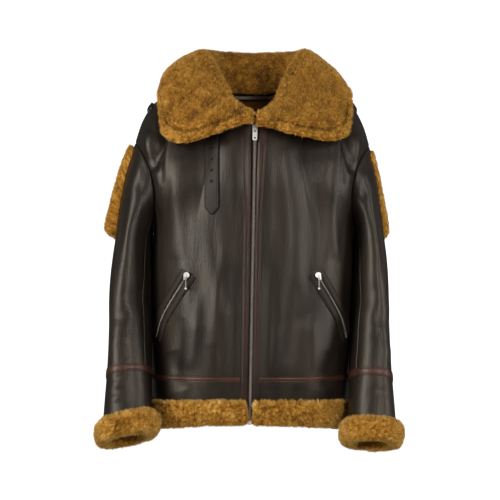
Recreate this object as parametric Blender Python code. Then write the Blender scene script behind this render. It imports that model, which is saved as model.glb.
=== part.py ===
"""Shearling coat, filled out as if worn, built piece by piece as a maker cuts it.

Tables and sizes are in millimetres, and each finished mesh is in metres. +Z is up, the front
faces -Y and the wearer's left is +X. The origin is at the middle of the neck opening, level
with the shoulders, where the wearer holds the coat up.
"""

import math
from bisect import bisect_right
from collections import namedtuple
from functools import lru_cache

import bmesh
import bpy
import numpy as np
from mathutils import Matrix, Vector

MM = 0.001
COLLECTION = "shearling_coat"

# ---------------------------------------------------------------- driving sizes, mm
SEAM_GAP = 0.3  # between two pieces at a seam
LAID_GAP = 0.9  # under a piece that lies on a panel
RAISED_GAP = 1.2  # under the strap and the pocket pieces, where the panel turns more
WALL = 5.0  # shearling: skin and clipped pile
SIDES = ((-1, "right"), (1, "left"))  # the wearer's, on X
LEAN = 0.018  # the coat hangs a little askew, sideways per mm of height
UNDERARM_Z = -225.0
YOKE_RISE = 200.0  # height scale given to the yoke, underarm to shoulder seam
TAPE_Z = -543.5  # waist tape
TAPE_HEIGHT = 13.0
TAPE_THICK = 1.3
BAND_END_Z = -643.0
HEM_RISE = 14.0  # the hem is this much higher at the centre front
ZIP_HALF = 2.7  # half the chain's width
SKELETON_HALF = 105.0  # the wall's thickness points away from a plate this wide
SKELETON_TOP = -95.0
FRONT_COLUMNS = 12
BACK_COLUMNS = 9
ARM_STEPS = 20  # points round a sleeve

Ring = namedtuple("Ring", "z half_width front back corner")
BODY_RINGS = (
    Ring(-655, 181.5, 135, 138, 2.3),
    Ring(-590, 200.5, 140, 142, 2.3),
    Ring(-545, 201.5, 145, 146, 2.3),
    Ring(-480, 202.8, 148, 148, 2.3),
    Ring(-400, 203.5, 150, 150, 2.35),
    Ring(-300, 204.2, 150, 151, 2.4),
    Ring(-225, 203, 150, 152, 2.4),
)

# Depth of the centre front and back above the underarm.
Profile = namedtuple("Profile", "z depth")
CENTRE_FRONT = (Profile(-225, 150), Profile(-150, 149), Profile(-90, 143), Profile(-34, 130))
CENTRE_BACK = (Profile(-225, 152), Profile(-150, 153), Profile(-60, 142), Profile(36, 90))

# Neckline: from the centre front or back round to the side of the neck.
NECK_SIDE = (88.0, 14.0, 44.0)
NECK_SHARE = 0.4  # share of the yoke's top edge that is neckline
NECK_CORNER = 2.1
# Shoulder seam from the side of the neck to the top of the armhole.
Point = namedtuple("Point", "x y z")
SHOULDER = (
    Point(88, 14, 44),
    Point(145, 9, 34),
    Point(190, 4, 25),
    Point(209, 2, 10),
    Point(228, 1, -24),
    Point(242, 0, -68),
)
YOKE_FULLNESS = {"front": 18.0, "back": 13.0}

# Armhole: top and underarm, depth to each side, and how far its front and back pull in.
ARM_TOP = Point(242, 0, -68)
ARM_UNDER = Point(203, 0, -225)
ARM_DEPTH = 80.0
ARM_PULL = 20.0
ARM_CORNER = 2.2

# Sleeve rings. inner and outer are the two sides seen from the front, y their middle.
SleeveRing = namedtuple(
    "SleeveRing", "station inner_x inner_z outer_x outer_z y half_depth pitch toe pull aside"
)
SLEEVE_RINGS = (
    SleeveRing(0, 203, -225, 242, -68, 0, 80, 0, 0, 20, 0.0),
    SleeveRing(1, 207, -241, 257, -135, -1, 84, 0, 1, 7, 0.5),
    SleeveRing(2, 206.5, -265, 265, -215, -6, 85, 2, 4, 2, 1.0),
    SleeveRing(3, 206.5, -310, 270.5, -298, -18, 82, 5, 6, 0, 1.0),
    SleeveRing(4, 205.2, -385, 276.5, -388, -36, 77, 9, 7, 0, 1.0),
    SleeveRing(5, 203, -460, 280, -466, -55, 71, 13, 7, 0, 0.7),
    SleeveRing(6, 199.5, -527, 284, -535, -75, 66, 15, 6, 0, 0.4),
    SleeveRing(7, 196.5, -618, 291.5, -631, -101, 61, 15, 4, 0, 0.1),
    SleeveRing(8, 196.5, -660, 293, -674, -114, 59, 15, 4, 0, 0.1),
)
SHOULDER_SHIFT = {-1: (3.0, 0.0), 1: (-7.0, -7.0)}  # across and up, each side
SLEEVE_ASIDE = {1: -6.0, -1: 7.2}  # how far each elbow stands out from the mean
SLEEVE_DROP = {1: -5.0, -1: 5.0}  # the wearer's left cuff hangs lower
CUFF_TILT = {1: (-1.0, 6.0), -1: (6.0, -2.0)}  # rise of each cuff's inner and outer side
WRIST_STATION = 6.1
CUFF_STATION = 7.0

# Large folds: a trough or ridge between two points as seen from the front or back.
Fold = namedtuple("Fold", "face x0 z0 x1 z1 height width")
FOLDS = (
    Fold("front", 184, -20, 202, -122, -20, 12),
    Fold("front", 212, -50, 216, -100, 6, 14),
    Fold("front", 150, -110, 160, -290, 5, 18),
    Fold("front", 118, -170, 108, -420, -5, 20),
    Fold("front", 64, -240, 66, -520, 4, 24),
    Fold("front", 160, -496, 140, -560, -4, 18),
    Fold("front", 34, -330, 30, -560, -3, 14),
    Fold("back", 188, -20, 203, -122, -16, 13),
    Fold("back", 150, -120, 158, -380, 5, 20),
    Fold("back", 96, -60, 112, -330, -5, 22),
    Fold("back", 40, -300, 52, -540, 4, 24),
    Fold("back", 120, -400, 104, -560, -4, 20),
)
# Sleeve folds: a dent or swell at a station and an angle from the outer side to the front.
ArmFold = namedtuple("ArmFold", "station angle height along around")
ARM_FOLDS = (
    ArmFold(2.2, 55, -5, 0.9, 16),
    ArmFold(3.4, 35, 5, 1.2, 20),
    ArmFold(4.1, 115, -6, 0.35, 40),
    ArmFold(4.6, 80, -4, 0.3, 30),
    ArmFold(5.4, 60, 4, 0.8, 22),
    ArmFold(3.9, -80, -5, 0.4, 40),
    ArmFold(5.0, -40, 4, 0.9, 25),
    ArmFold(6.6, 100, -3, 0.4, 30),
)

# Collar, from the centre front round to the centre back: its roll and its outer edge.
CollarRib = namedtuple("CollarRib", "neck roll_x roll_y roll_z edge_x edge_y edge_z crown thick")
COLLAR_RIBS = {
    -1: (
        CollarRib(0.00, 6, -146, -15, 9, -157, -38, 4, 5),
        CollarRib(0.10, 19, -142, -4, 34, -163, -44, 9, 9),
        CollarRib(0.22, 42, -120, 14, 80, -165, -60, 15, 13),
        CollarRib(0.36, 58, -94, 40, 139, -147, -75, 21, 15),
        CollarRib(0.50, 76, -58, 72, 184, -110, -60, 27, 16),
        CollarRib(0.64, 93, -20, 104, 197, -66, -8, 31, 16),
        CollarRib(0.76, 104, 8, 121, 201, -20, 27, 30, 16),
        CollarRib(0.90, 104, 38, 127, 194, 34, 35, 27, 16),
        CollarRib(1.16, 84, 84, 130, 154, 104, 8, 26, 16),
        CollarRib(1.50, 50, 106, 130, 84, 142, -12, 22, 16),
        CollarRib(2.00, 0, 114, 130, 0, 154, -20, 20, 16),
    ),
    1: (
        CollarRib(0.00, 6, -146, -15, 8, -157, -42, 4, 5),
        CollarRib(0.10, 17, -142, -8, 34, -163, -50, 9, 9),
        CollarRib(0.22, 32, -121, 6, 82, -165, -61, 15, 13),
        CollarRib(0.36, 46, -94, 32, 145, -147, -71, 20, 15),
        CollarRib(0.50, 58, -58, 64, 187, -109, -58, 25, 16),
        CollarRib(0.64, 74, -20, 98, 197, -68, -20, 25, 16),
        CollarRib(0.76, 88, 8, 120, 200, -22, 24, 19, 16),
        CollarRib(0.90, 95, 38, 128, 192, 34, 32, 18, 16),
        CollarRib(1.16, 82, 84, 130, 152, 104, 6, 20, 16),
        CollarRib(1.50, 50, 106, 130, 84, 142, -12, 22, 16),
        CollarRib(2.00, 0, 114, 130, 0, 154, -20, 20, 16),
    ),
}
COLLAR_PLACES = (  # ribs a side, closer where the leaf turns
    *(0, 0.07, 0.14, 0.22, 0.3, 0.37, 0.44, 0.51, 0.58, 0.66),
    *(0.75, 0.86, 1.0, 1.16, 1.35, 1.56, 1.78, 2.0),
)
COLLAR_ROWS = 12
COLLAR_GAP = 3.2  # its middle stands this far over the neck seam

# Turned fur at the hem and cuffs: a section out from the leather and down past its end.
FurPoint = namedtuple("FurPoint", "out below")
HEM_FUR_HEIGHT = 52.0
HEM_FUR_TURN = 4.0  # how far it runs in past the wall
HEM_FUR_SECTION = (
    FurPoint(9.0, 3.0),
    FurPoint(14.0, 13.0),
    FurPoint(15.0, 30.0),
    FurPoint(12.0, 50.0),
    FurPoint(4.0, 59.0),
    FurPoint(-6.0, 58.0),
    FurPoint(-11.0, 51.0),
)
CUFF_FUR_SECTION = (
    FurPoint(9.0, 5.5),
    FurPoint(16.5, 12.5),
    FurPoint(18.5, 27.0),
    FurPoint(15.0, 42.0),
    FurPoint(5.0, 51.0),
    FurPoint(-8.0, 50.0),
    FurPoint(-14.0, 44.0),
)

# Fur panel on the outer back of the upper sleeve.
PAD_ANGLES = range(1, -7, -1)  # columns of the sleeve that it covers
PAD_STATIONS = (0.2, 0.6, 1.1, 1.6, 2.1, 2.6)
PAD_THICK_TOP = 17.0
PAD_THICK_END = 30.0

# Strips beside the zip: distances from the middle of the zip.
PLACKET_INNER = {-1: 6.0, 1: 4.0}
PLACKET_OUTER = {-1: 20.0, 1: 17.5}
PLACKET_THICK = 1.6
FRONT_TOP_VALUE = YOKE_RISE + UNDERARM_Z

# Throat strap on the wearer's right chest.
STRAP_X = -87.0
STRAP_HALF = 14.2
STRAP_TOP_Z = -56.0
STRAP_END_Z = -202.0
STRAP_TIP = 15.0
STRAP_THICK = 3.0
STRAP_HOLES_Z = (-82.8, -105.9, -128.6, -151.0)
STRAP_HOLE_RADIUS = 2.0

# Slanted pockets: the zip's line as seen from the front.
POCKET_LINE = (Point(127, 0, -333), Point(158, 0, -384), Point(179.5, 0, -424), Point(190.4, 0, -464))
POCKET_STEPS = 12
WELT_COLUMNS = 4
WELT_NEAR = 2.6
WELT_WIDE = {"upper": -17.0, "lower": 17.0}
WELT_THICK = 3.2
WELT_EDGE = 0.7  # its rolled edges are thinner by this
POCKET_ZIP_THICK = 1.6
POCKET_ZIP_HALF = 1.9

# Shoulder tabs and hanger loop.
TAB_HALF_DEPTH = 16.0
TAB_PLACE = {-1: (0.748, 0.793), 1: (0.727, 0.772)}  # along the top edge
TAB_THICK = 5.0
TAB_GAP = {-1: 0.6, 1: 0.3}
HANGER_MIDDLE = -10.0
HANGER_HALF = 36.5
HANGER_LOW = 25.5
HANGER_HEIGHT = 10.0
HANGER_GAP = 0.6
HANGER_THICK = 2.4
HANGER_BOW = 1.6

# Zip slider and pull tab, in the slider's own frame: x across, o out, z along.
SLIDER_Z = -45.0
SLIDER_SIZE = (11.0, 3.4, 12.0)
PULL_WIDTH = 10.0
PULL_LENGTH = 25.0
PULL_THICK = 1.3
PULL_SLOT = (1.9, 0.6, 6.6)  # half width, start and end below the axis
PULL_HOLE_Z = -19.0
PULL_HOLE_RADIUS = 2.0
POCKET_SLIDER_SHARE = 0.045  # place along the pocket's zip
POCKET_SLIDER_SIZE = (4.4, 2.6, 7.5)
POCKET_SCALE = 0.75
POCKET_TURN = -0.54  # the slider follows the slanted zip, radians
POCKET_EYE = (4.6, 6.2, 0.95)
BEADS = (1.25, 1.25, 1.25, 1.25, 1.25, 2.1)
BEAD_NECK = 0.55
BOX_Z = -643.0
BOX_SIZE = (7.0, 4.0, 9.0)


# ---------------------------------------------------------------- materials
Finish = namedtuple("Finish", "colour roughness metallic")
FINISHES = {
    "dark_leather": Finish((0.030, 0.024, 0.020), 0.42, 0.0),
    "tape_leather": Finish((0.060, 0.026, 0.020), 0.45, 0.0),
    "shearling_fur": Finish((0.38, 0.20, 0.055), 0.95, 0.0),
    "zip_metal": Finish((0.62, 0.60, 0.57), 0.28, 1.0),
}


def finish(name):
    """The named material, made on first use."""
    found = bpy.data.materials.get(name)
    if found:
        return found
    material = bpy.data.materials.new(name)
    material.use_nodes = True
    surface = material.node_tree.nodes["Principled BSDF"]
    look = FINISHES[name]
    surface.inputs["Base Color"].default_value = (*look.colour, 1.0)
    surface.inputs["Roughness"].default_value = look.roughness
    surface.inputs["Metallic"].default_value = look.metallic
    material.diffuse_color = (*look.colour, 1.0)
    return material


# ---------------------------------------------------------------- curves and tables
@lru_cache(maxsize=None)
def row_at(table, key):
    """A table's row at a key between its rows, on a smooth curve through them."""
    rows = np.array(table, float)
    keys = rows[:, 0]
    last = len(keys) - 1
    i = min(max(bisect_right(keys.tolist(), key) - 1, 0), last - 1)
    span = keys[i + 1] - keys[i]
    f = min(max((key - keys[i]) / span, 0.0), 1.0)

    def slope(j):
        low, high = max(j - 1, 0), min(j + 1, last)
        return (rows[high] - rows[low]) / (keys[high] - keys[low])

    value = (
        (2 * f**3 - 3 * f**2 + 1) * rows[i]
        + (f**3 - 2 * f**2 + f) * span * slope(i)
        + (3 * f**2 - 2 * f**3) * rows[i + 1]
        + (f**3 - f**2) * span * slope(i + 1)
    )
    return type(table[0])(*value.tolist())


Keyed = namedtuple("Keyed", "key x y z")


@lru_cache(maxsize=None)
def dense_curve(points, samples=60):
    """A smooth curve through points: its samples, and each one's share of the length."""
    table = tuple(Keyed(i, *point) for i, point in enumerate(points))
    line = np.array([row_at(table, s)[1:] for s in np.linspace(0, len(points) - 1, samples)])
    lengths = np.concatenate([[0], np.cumsum(np.linalg.norm(np.diff(line, axis=0), axis=1))])
    return line, lengths / lengths[-1]


def along(points, share):
    """The point at a share of the length of a smooth curve through points."""
    line, shares = dense_curve(tuple(points))
    return np.array([np.interp(share, shares, line[:, axis]) for axis in range(3)])


def round_power(value, corner):
    """A sine or cosine of an ellipse squared off by the corner exponent."""
    return math.copysign(abs(value) ** (2.0 / corner), value)


@lru_cache(maxsize=None)
def quarter(width, depth, corner):
    """A squared-off quarter ellipse from its middle to its side, and its share of length."""
    turns = np.linspace(0, math.pi / 2, 90)
    x = width * np.sin(turns) ** (2 / corner)
    y = depth * np.clip(np.cos(turns), 0, 1) ** (2 / corner)
    lengths = np.concatenate([[0], np.cumsum(np.hypot(np.diff(x), np.diff(y)))])
    return x, y, lengths / lengths[-1], lengths[-1]


# ---------------------------------------------------------------- body surface
def away(point):
    """Outward direction at a point of the body: away from a flat plate inside it."""
    x, _, z = point
    core = (min(max(x, -SKELETON_HALF), SKELETON_HALF), 0.0, min(z, SKELETON_TOP))
    out = np.array(point) - np.array(core)
    return out / np.linalg.norm(out)


def ring_point(face, u, z):
    """A point of the body below the underarm, u from the centre (0) to the side (1)."""
    ring = row_at(BODY_RINGS, z)
    depth = ring.front if face == "front" else ring.back
    x, y, shares, _ = quarter(round(ring.half_width, 2), round(depth, 2), round(ring.corner, 3))
    px = float(np.interp(u, shares, x))
    py = float(np.interp(u, shares, y))
    lift = 0.0
    if face == "front" and z < TAPE_Z:
        lift = HEM_RISE * (TAPE_Z - z) / (TAPE_Z - BAND_END_Z) * (py / depth) ** 2
    return np.array((px, -py if face == "front" else py, z + lift))


def armhole_point(turn):
    """The armhole at an angle in degrees: 0 top, 90 front, 180 underarm, 270 back."""
    top, under = np.array(ARM_TOP), np.array(ARM_UNDER)
    c = round_power(math.cos(math.radians(turn)), ARM_CORNER)
    s = round_power(math.sin(math.radians(turn)), ARM_CORNER)
    point = (top + under) / 2 + c * (top - under) / 2
    return point + np.array((-ARM_PULL * s * s, -ARM_DEPTH * s, 0.0))


def top_edge(face, u):
    """The yoke's top edge: the neckline, then the shoulder seam."""
    if u >= NECK_SHARE:
        return along(SHOULDER, (u - NECK_SHARE) / (1 - NECK_SHARE))
    side_x, side_y, side_z = NECK_SIDE
    centre = (CENTRE_FRONT if face == "front" else CENTRE_BACK)[-1]
    sign = -1 if face == "front" else 1
    x, y, shares, _ = quarter(side_x, centre.depth - sign * side_y, NECK_CORNER)
    share = u / NECK_SHARE
    px = float(np.interp(share, shares, x))
    py = side_y + sign * float(np.interp(share, shares, y))
    rise = (px / side_x) ** 2
    return np.array((px, py, centre.z + (side_z - centre.z) * rise))


def centre_line(face, w):
    """The centre front or back above the underarm."""
    table = CENTRE_FRONT if face == "front" else CENTRE_BACK
    z = UNDERARM_Z + (table[-1].z - UNDERARM_Z) * w
    depth = row_at(table, z).depth
    return np.array((0.0, -depth if face == "front" else depth, z))


def yoke_point(face, u, w):
    """A point above the underarm, blended from the four edges of the yoke."""
    turn = 180 * (1 - w) if face == "front" else 180 + 180 * w
    bottom, top = ring_point(face, u, UNDERARM_Z), top_edge(face, u)
    left, right = centre_line(face, w), armhole_point(turn)
    corners = (
        (1 - u) * (1 - w) * ring_point(face, 0, UNDERARM_Z)
        + u * (1 - w) * np.array(ARM_UNDER)
        + (1 - u) * w * top_edge(face, 0)
        + u * w * np.array(ARM_TOP)
    )
    point = (1 - w) * bottom + w * top + (1 - u) * left + u * right - corners
    full = YOKE_FULLNESS[face] * math.sin(math.pi * u) * math.sin(math.pi * w) ** 2
    return point + full * away(point)


def fold_height(face, x, z):
    """How far the folds raise or sink the cloth at a place seen from the front or back."""
    height = 0.0
    for fold in FOLDS:
        if fold.face != face:
            continue
        start = np.array((fold.x0, fold.z0))
        run = np.array((fold.x1, fold.z1)) - start
        share = float(np.dot((x, z) - start, run) / np.dot(run, run))
        nearest = start + run * min(max(share, 0.0), 1.0)
        gap = math.dist((x, z), nearest)
        ends = math.sin(math.pi * min(max(0.08 + 0.84 * share, 0.0), 1.0)) ** 0.6
        height += fold.height * ends * math.exp(-((gap / fold.width) ** 2))
    return height


def body_point(side, face, u, v, out=0.0):
    """A point of the body's outer surface or out from it.

    v is the height below the underarm, and above it runs on over the yoke to the top edge.
    """
    if v <= UNDERARM_Z:
        point = ring_point(face, u, v)
        hold = 1.0
    else:
        w = min((v - UNDERARM_Z) / YOKE_RISE, 1.0)
        point = yoke_point(face, u, w)
        hold = min(1.0, 5 * (1 - w))
    hold *= min(1.0, 7 * (1 - u)) * min(1.0, 8 * u)
    point = point + hold * fold_height(face, point[0], point[2]) * away(point)
    point = placed(side, point)
    return point + out * outward(side, point)


def ease(share):
    """A smooth step from 0 to 1."""
    share = min(max(share, 0.0), 1.0)
    return share * share * (3 - 2 * share)


def placed(side, point):
    """A point of the half pattern on the wearer's left (1) or right (-1), leaned over.

    The shoulder's end is moved a little, because one hangs lower and narrower.
    """
    x, y, z = point
    reach = ease((x - 140) / 90) * ease((z + 240) / 170)
    across, rise = SHOULDER_SHIFT[side]
    return np.array((side * (x + reach * across) + LEAN * z, y, z + reach * rise))


def outward(side, point):
    """The body's outward direction at a point in place."""
    x, y, z = point
    return away((side * (x - LEAN * z), y, z)) * np.array((side, 1, 1))


def thinned(side, points, depth):
    """The points moved into the body by a depth."""
    moved = np.empty_like(points)
    for index in np.ndindex(points.shape[:-1]):
        moved[index] = points[index] - depth * outward(side, points[index])
    return moved


# ---------------------------------------------------------------- solids from grids
def solid(name, points, faces, material):
    """A closed mesh object from points in millimetres."""
    mesh = bpy.data.meshes.new(name)
    mesh.from_pydata([tuple(p * MM) for p in points], [], faces)
    shape = bmesh.new()
    shape.from_mesh(mesh)
    bmesh.ops.recalc_face_normals(shape, faces=shape.faces)
    shape.to_mesh(mesh)
    shape.free()
    mesh.shade_smooth()
    mesh.set_sharp_from_angle(angle=math.radians(50))
    made = bpy.data.objects.new(name, mesh)
    made.data.materials.append(finish(material))
    bpy.data.collections[COLLECTION].objects.link(made)
    return made


def cell(a, b, c, d, mirrored=False):
    """Two triangles of a quad, split between its first and third corners, or the others."""
    return [(a, b, d), (b, c, d)] if mirrored else [(a, b, c), (a, c, d)]


def wall(name, outer, inner, material, around=False, middle=0):
    """A wall between two grids of points; around joins the last column to the first.

    Cells before the middle column are split as a mirror image of those past it.
    """
    rows, columns = outer.shape[:2]
    points = np.concatenate([outer.reshape(-1, 3), inner.reshape(-1, 3)])
    half = rows * columns
    faces = []

    def at(layer, i, j):
        return layer * half + i * columns + j % columns

    for i in range(rows - 1):
        for j in range(columns if around else columns - 1):
            for layer in (0, 1):
                low, high = (at(layer, k, j) for k in (i, i + 1))
                low_next, high_next = (at(layer, k, j + 1) for k in (i, i + 1))
                faces += cell(low, low_next, high_next, high, j < middle)
    for j in range(columns if around else columns - 1):
        for i in (0, rows - 1):
            faces += cell(at(0, i, j), at(0, i, j + 1), at(1, i, j + 1), at(1, i, j))
    if not around:
        for i in range(rows - 1):
            for j in (0, columns - 1):
                faces += cell(at(0, i, j), at(0, i + 1, j), at(1, i + 1, j), at(1, i, j))
    return solid(name, points, faces, material)


def swept(name, sections, material, around=False):
    """A solid from closed sections, rows of points, capped unless it runs around."""
    count, size = sections.shape[:2]
    points = sections.reshape(-1, 3)
    faces = []
    for i in range(count if around else count - 1):
        for j in range(size):
            n = (i + 1) % count
            k = (j + 1) % size
            faces += cell(i * size + j, i * size + k, n * size + k, n * size + j)
    if not around:
        faces.append(tuple(range(size)))
        faces.append(tuple((count - 1) * size + j for j in range(size)))
    return solid(name, points, faces, material)


def box_mesh(shape, low, high):
    """A block added to a bmesh between two corners in millimetres."""
    size = [(b - a) * MM for a, b in zip(low, high)]
    middle = [(a + b) / 2 * MM for a, b in zip(low, high)]
    matrix = Matrix.Translation(middle) @ Matrix.Diagonal((*size, 1))
    bmesh.ops.create_cube(shape, size=1.0, matrix=matrix)


def block(name, low, high, material, bevel=0.0):
    """A block with bevelled edges, as an object."""
    mesh = bpy.data.meshes.new(name)
    shape = bmesh.new()
    box_mesh(shape, low, high)
    if bevel:
        bmesh.ops.bevel(
            shape,
            geom=shape.edges[:],
            offset=bevel * MM,
            segments=1,
            affect="EDGES",
            profile=0.5,
        )
    shape.to_mesh(mesh)
    shape.free()
    made = bpy.data.objects.new(name, mesh)
    made.data.materials.append(finish(material))
    bpy.data.collections[COLLECTION].objects.link(made)
    return made


def rod(name, radius, length, sides=8):
    """A cutter or rod along Z, centred."""
    mesh = bpy.data.meshes.new(name)
    shape = bmesh.new()
    bmesh.ops.create_cone(
        shape,
        cap_ends=True,
        segments=sides,
        radius1=radius * MM,
        radius2=radius * MM,
        depth=length * MM,
    )
    shape.to_mesh(mesh)
    shape.free()
    return bpy.data.objects.new(name, mesh)


def combine(made, other, operation):
    """Cut or join with a Boolean, made real at once, and drop the other object."""
    bpy.data.collections["cutters"].objects.link(other)
    other.hide_render = True
    other.display_type = "WIRE"
    step = made.modifiers.new(operation.lower(), "BOOLEAN")
    step.operation = operation
    step.object = other
    bpy.context.view_layer.update()
    evaluated = made.evaluated_get(bpy.context.evaluated_depsgraph_get())
    mesh = bpy.data.meshes.new_from_object(evaluated)
    made.modifiers.clear()
    made.data = mesh
    bpy.data.objects.remove(other)


# ---------------------------------------------------------------- panels
def shares(edges, columns):
    """Column places from the centre to the side that keep the given edges."""
    inner = list(edges)
    rest = np.linspace(inner[-1], 1.0, columns + 2 - len(inner))[1:]
    return inner + rest.tolist()


def arc_length(face):
    ring = row_at(BODY_RINGS, -400)
    return quarter(ring.half_width, ring.front if face == "front" else ring.back, 2.5)[3]


FRONT_ARC = arc_length("front")
SIDE_END = 1 - SEAM_GAP / 2 / FRONT_ARC


def front_columns(side):
    """Columns of a front: zip edge, the strip's two edges, then to the side."""
    edges = [ZIP_HALF + SEAM_GAP, PLACKET_INNER[side], PLACKET_OUTER[side]]
    places = shares([edge / FRONT_ARC for edge in edges], FRONT_COLUMNS)
    places[-1] = SIDE_END
    return places


def back_columns():
    places = np.linspace(0, 1, BACK_COLUMNS + 1).tolist()
    places[-1] = SIDE_END
    return places


def body_levels():
    """Heights of the rows from the waist tape to the shoulder seam."""
    low = [TAPE_Z + SEAM_GAP / 2, TAPE_Z + TAPE_HEIGHT / 2]
    mid = np.linspace(TAPE_Z + TAPE_HEIGHT / 2, UNDERARM_Z, 9)[1:].tolist()
    steps = ARM_STEPS // 2
    yoke = [UNDERARM_Z + YOKE_RISE * i / steps for i in range(1, steps + 1)]
    yoke[-1] -= SEAM_GAP * 0.6
    return low + mid + yoke


BAND_LEVELS = [
    BAND_END_Z,
    BAND_END_Z + 24,
    BAND_END_Z + HEM_FUR_HEIGHT,
    TAPE_Z - TAPE_HEIGHT / 2,
    TAPE_Z - SEAM_GAP / 2,
]


def body_grid(side, face, places, levels, out=0.0):
    return np.array([[body_point(side, face, u, v, out) for u in places] for v in levels])


def add_front(side, name):
    outer = body_grid(side, "front", front_columns(side), body_levels())
    wall(f"front_{name}", outer, thinned(side, outer, WALL), "dark_leather")
    band = body_grid(side, "front", front_columns(side), BAND_LEVELS)
    wall(f"hem_band_{name}", band, thinned(side, band, WALL), "dark_leather")
    return outer


def both_sides(face, places, levels, out=0.0):
    """A grid across the whole back, from the wearer's right side to the left."""
    right = body_grid(-1, face, places[::-1], levels, out)
    left = body_grid(1, face, places, levels, out)
    return np.concatenate([right, left[:, 1:]], axis=1)


def thinned_back(points, depth):
    middle = points.shape[1] // 2
    right = thinned(-1, points[:, :middle], depth)
    left = thinned(1, points[:, middle:], depth)
    return np.concatenate([right, left], axis=1)


def add_back():
    outer = both_sides("back", back_columns(), body_levels())
    inner = thinned_back(outer, WALL)
    wall("back", outer, inner, "dark_leather", middle=outer.shape[1] // 2)
    band = both_sides("back", back_columns(), BAND_LEVELS)
    wall("hem_band_back", band, thinned_back(band, WALL), "dark_leather")


TAPE_LEVELS = [TAPE_Z - TAPE_HEIGHT / 2, TAPE_Z - SEAM_GAP / 2, TAPE_Z + TAPE_HEIGHT / 2]


def add_waist_tapes():
    """The tape over the seam between each panel and its hem band."""
    for side, name in SIDES:
        places = front_columns(side)[2:]
        places[0] += 2 * SEAM_GAP / FRONT_ARC
        inner = body_grid(side, "front", places, TAPE_LEVELS)
        base = thinned(side, inner, -SEAM_GAP)
        top = thinned(side, inner, -SEAM_GAP - TAPE_THICK)
        wall(f"waist_tape_{name}", top, base, "tape_leather")
    inner = both_sides("back", back_columns(), TAPE_LEVELS)
    base = thinned_back(inner, -SEAM_GAP)
    wall("waist_tape_back", thinned_back(inner, -SEAM_GAP - TAPE_THICK), base, "tape_leather")


# ---------------------------------------------------------------- fur at the hem
def hem_section(side, face, u):
    """The turned fur's section at one place round the hem."""
    top_z = BAND_END_Z + HEM_FUR_HEIGHT
    foot = body_point(side, face, u, BAND_END_Z)
    points = []
    for place in HEM_FUR_SECTION:
        v = top_z - place.below
        base = body_point(side, face, u, max(v, BAND_END_Z))
        if v < BAND_END_Z:
            base = foot + np.array((0, 0, v - BAND_END_Z))
        points.append(base + place.out * outward(side, base))
    below = foot - np.array((0, 0, SEAM_GAP))
    points.append(below - (WALL + HEM_FUR_TURN) * outward(side, foot))
    points.append(below + SEAM_GAP * outward(side, foot))
    points += [body_point(side, face, u, level, SEAM_GAP) for level in BAND_LEVELS[1:3]]
    return points


def add_hem_fur():
    for side, name in SIDES:
        places = front_columns(side)
        places[0] = (BOX_SIZE[0] / 2 + 0.8) / FRONT_ARC
        places[1] = max(places[1], 2 * places[0])
        sections = np.array([hem_section(side, "front", u) for u in places])
        swept(f"hem_fur_{name}", sections, "shearling_fur")
    places = back_columns()
    right = [hem_section(-1, "back", u) for u in places[::-1]]
    left = [hem_section(1, "back", u) for u in places[1:]]
    swept("hem_fur_back", np.array(right + left), "shearling_fur")


# ---------------------------------------------------------------- sleeves
def sleeve_frame(side, station):
    """A sleeve ring's middle, half width vector, half depth vector and the ring itself."""
    ring = row_at(SLEEVE_RINGS, station)
    aside = SLEEVE_ASIDE[side] * ring.aside
    drop = SLEEVE_DROP[side] * min(1.0, max(0.0, (station - 3) / 4))
    inner_rise, outer_rise = (rise * min(1.0, max(0.0, station - 6)) for rise in CUFF_TILT[side])
    inner = np.array((ring.inner_x, 0.0, ring.inner_z + drop + inner_rise))
    outer = np.array((ring.outer_x + aside, 0.0, ring.outer_z + drop + outer_rise))
    middle = (inner + outer) / 2 + np.array((0, ring.y, 0))
    across = (outer - inner) / 2
    pitch, toe = math.radians(ring.pitch), math.radians(ring.toe)
    depth = ring.half_depth * np.array(
        (math.sin(toe), -math.cos(toe) * math.cos(pitch), math.sin(pitch))
    )
    return middle, across, depth, ring


def arm_fold_height(station, angle):
    height = 0.0
    for fold in ARM_FOLDS:
        turn = (angle - fold.angle + 180) % 360 - 180
        reach = ((station - fold.station) / fold.along) ** 2 + (turn / fold.around) ** 2
        height += fold.height * math.exp(-reach)
    return height


def sleeve_half(side, station, angle, out=0.0):
    """A sleeve point on the half pattern; the angle runs from the outer side to the front."""
    middle, across, depth, ring = sleeve_frame(side, station)
    turn = math.radians(angle)
    c = round_power(math.cos(turn), ARM_CORNER)
    s = round_power(math.sin(turn), ARM_CORNER)
    width, deep = np.linalg.norm(across), np.linalg.norm(depth)
    spine = max(0.0, deep - width) * 0.85
    hold = min(max(deep * s, -spine), spine) / deep
    flat = (c * across, (s - hold) * depth)
    direction = flat[0] + flat[1]
    direction = direction / np.linalg.norm(direction)
    raised = out + arm_fold_height(station, angle) * min(1.0, station / 1.5)
    point = middle + c * across + s * depth + raised * direction
    return point + np.array((-ring.pull * s * s, 0, 0))


def sleeve_point(side, station, angle, out=0.0):
    """A sleeve point in place; the first ring keeps the seam gap to the armhole."""
    point = sleeve_half(side, station, angle, out)
    if station == 0:
        further = sleeve_half(side, 0.12, angle, out) - point
        point = point + SEAM_GAP * further / np.linalg.norm(further)
    return placed(side, point)


def sleeve_grid(side, stations, angles, out=0.0):
    return np.array([[sleeve_point(side, t, a, out) for a in angles] for t in stations])


ARM_ANGLE = 360 / ARM_STEPS
UPPER_ANGLES = [ARM_ANGLE * i for i in range(-6, 9)]
UNDER_ANGLES = [ARM_ANGLE * i for i in range(8, ARM_STEPS - 5)]
SLEEVE_STATIONS = [0, 0.2, 0.6, 1.1, 1.6, 2.1, 2.6, 3.2, 3.8, 4.4, 5.0, 5.5]
TAPE_REACH = 0.095  # half the sleeve tape, in stations
SLEEVE_GAP_ANGLE = 0.09  # half a seam gap round a sleeve, in degrees
STATION_GAP = 0.002


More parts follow.
